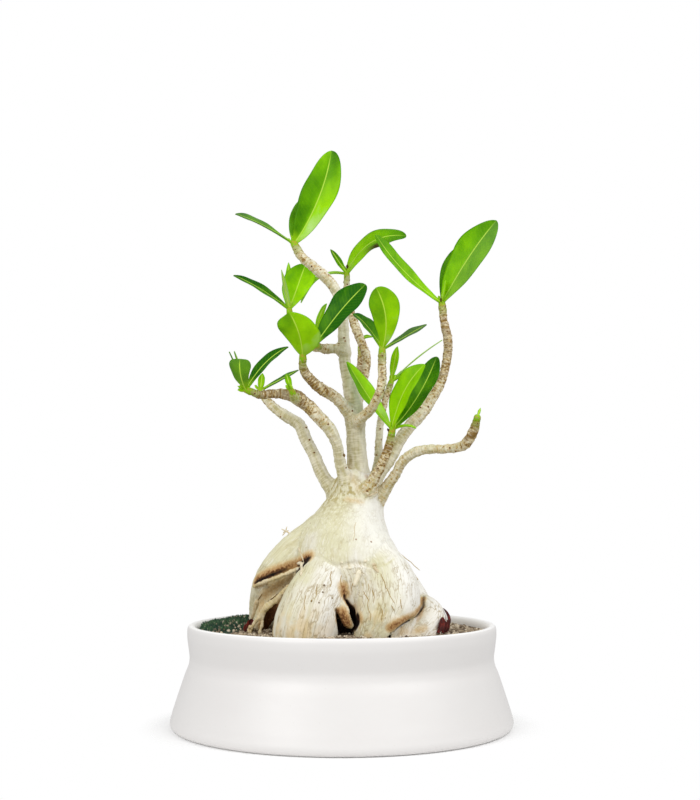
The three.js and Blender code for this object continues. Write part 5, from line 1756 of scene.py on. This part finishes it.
finish_tree(heap_tree, heaped, given["Soil"])
soil = node_result(soil_plain, heap_tree, HEAPS, "soil_bed")

# %% [markdown]
# Loose crumbs lie on the soil and short blades stand in the moss. Both are scattered by one
# node group: points fall on the top faces with a fixed seed, only where a stored number on the
# ground allows them, and each point gets a turned and scaled copy of a small mesh.

# %% Scatter crumbs and moss
CRUMB_CELL = 3.5
CRUMB_RINGS = ((0.3, -0.8, 0), (0.95, -0.35, 0), (1.0, 0.3, 0), (0.4, 0.75, 0))
BLADE_RINGS = ((0.26, -0.5, 0), (0.34, 0.5, 0), (0.06, 1.6, 0))


def crumb_material():
    """Crumbs of bark, peat and grit in mixed browns."""
    made, tree, shader = start_material("bark and grit crumbs", 0.9, 0.25)
    place = object_mm(tree)
    cells = add(tree, "ShaderNodeTexVoronoi", {"Vector": place, "Scale": 1 / CRUMB_CELL})
    pick = add(tree, "ShaderNodeSeparateColor", {0: cells.outputs["Color"]})
    pale = add(tree, "ShaderNodeMapRange", {0: pick.outputs[1], 1: 0.8, 2: 0.84, 4: 0.8})
    tone = coats(tree, "#655443", [("#CBBBA2", pick), ("#D6CAB4", pale)])
    skin(tree, shader, tone, stretched_noise(tree, place, (0.5, 0.5, 0.5)), 0.5, 0.2)
    return made


def moss_material():
    """Cushion moss: blue-green and dark, lighter at some tips."""
    made, tree, shader = start_material("cushion moss", 0.8, 0.2)
    lighter = noise_mask(tree, object_mm(tree), (6, 6, 6), 3.0, 0.4, 0.65)
    tone = coats(tree, "#2B4638", [("#4F6E4A", lighter)])
    tree.links.new(tone.outputs[2], shader.inputs["Base Color"])
    return made


crumb = cushion_object("crumb", CRUMB_RINGS, 5)
moss_blade = cushion_object("moss_blade", BLADE_RINGS, 3)
CRUMBS = {"Density": 90000.0, "Smallest": 0.45 * MM, "Largest": 1.5 * MM, "Lean": 3.1, "Seed": 11,
          "Copy": crumb, "Finish": crumb_material(), "Where": "top"}
BLADES = {"Density": 750000.0, "Smallest": 0.8 * MM, "Largest": 1.5 * MM, "Lean": 0.45, "Seed": 5,
          "Copy": moss_blade, "Finish": moss_material(), "Where": "moss"}

scatter, given = new_group("ground_scatter", CRUMBS)
where = add(scatter, "GeometryNodeInputNamedAttribute", {"Name": given["Where"]}, data_type="FLOAT")
clear = add(scatter, "GeometryNodeInputNamedAttribute", {"Name": "clear"}, data_type="FLOAT")
share = add(scatter, "ShaderNodeMath", {0: where, 1: clear}, operation="MULTIPLY")
density = add(scatter, "ShaderNodeMath", {0: share, 1: given["Density"]}, operation="MULTIPLY")
points_on = add(scatter, "GeometryNodeDistributePointsOnFaces",
                {"Mesh": given["Geometry"], "Density": density, "Seed": given["Seed"]})
lean = add(scatter, "ShaderNodeVectorMath", {0: (1.0, 1.0, 0.0), "Scale": given["Lean"]}, operation="SCALE")
lean = add(scatter, "ShaderNodeVectorMath", {0: lean, 1: (0.0, 0.0, math.pi)}, operation="ADD")
back = add(scatter, "ShaderNodeVectorMath", {0: lean, "Scale": -1.0}, operation="SCALE")
turn = {"Min": back, "Max": lean, "Seed": given["Seed"]}
turn = add(scatter, "FunctionNodeRandomValue", turn, data_type="FLOAT_VECTOR")
size = {"Min": given["Smallest"], "Max": given["Largest"], "Seed": given["Seed"]}
size = add(scatter, "FunctionNodeRandomValue", size, data_type="FLOAT")
copy_in = add(scatter, "GeometryNodeObjectInfo", {0: given["Copy"]}, transform_space="ORIGINAL")
copies = add(scatter, "GeometryNodeInstanceOnPoints", {
    "Points": points_on.outputs["Points"], "Instance": copy_in.outputs["Geometry"],
    "Rotation": turn, "Scale": size})
finish_tree(scatter, copies, given["Finish"])
crumbs = node_result(soil, scatter, CRUMBS, "soil_crumbs")
moss = node_result(soil, scatter, BLADES, "moss_cushion")

# %% [markdown]
# Everything is fastened last. Each piece rides on the one body of this part, and one that stands
# for an imported node hides it. Helper objects are removed, because nothing that is not part of
# the plant should stay in the scene.

# %% Fasten the pieces
for helper in (wood, wood_fine, middle_lines, scar, crumb, moss_blade, soil_plain):
    bpy.data.objects.remove(helper)


def fasten(piece, slot, *nodes):
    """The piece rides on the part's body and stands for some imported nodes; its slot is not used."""
    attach(piece, "root")
    if nodes:
        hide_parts(*nodes)


for piece in wood_pieces:
    fasten(piece, "bark", "caudex_and_branches")
for piece in (leaf_scars, strands, sheaths):
    fasten(piece, "bark")
for place, piece in tufts.items():
    fasten(piece, "leaf", "leaves_" + place)
fasten(pot, "ceramic", "pot")
fasten(soil, "soil", "soil")
fasten(crumbs, "soil")
fasten(moss, "soil")
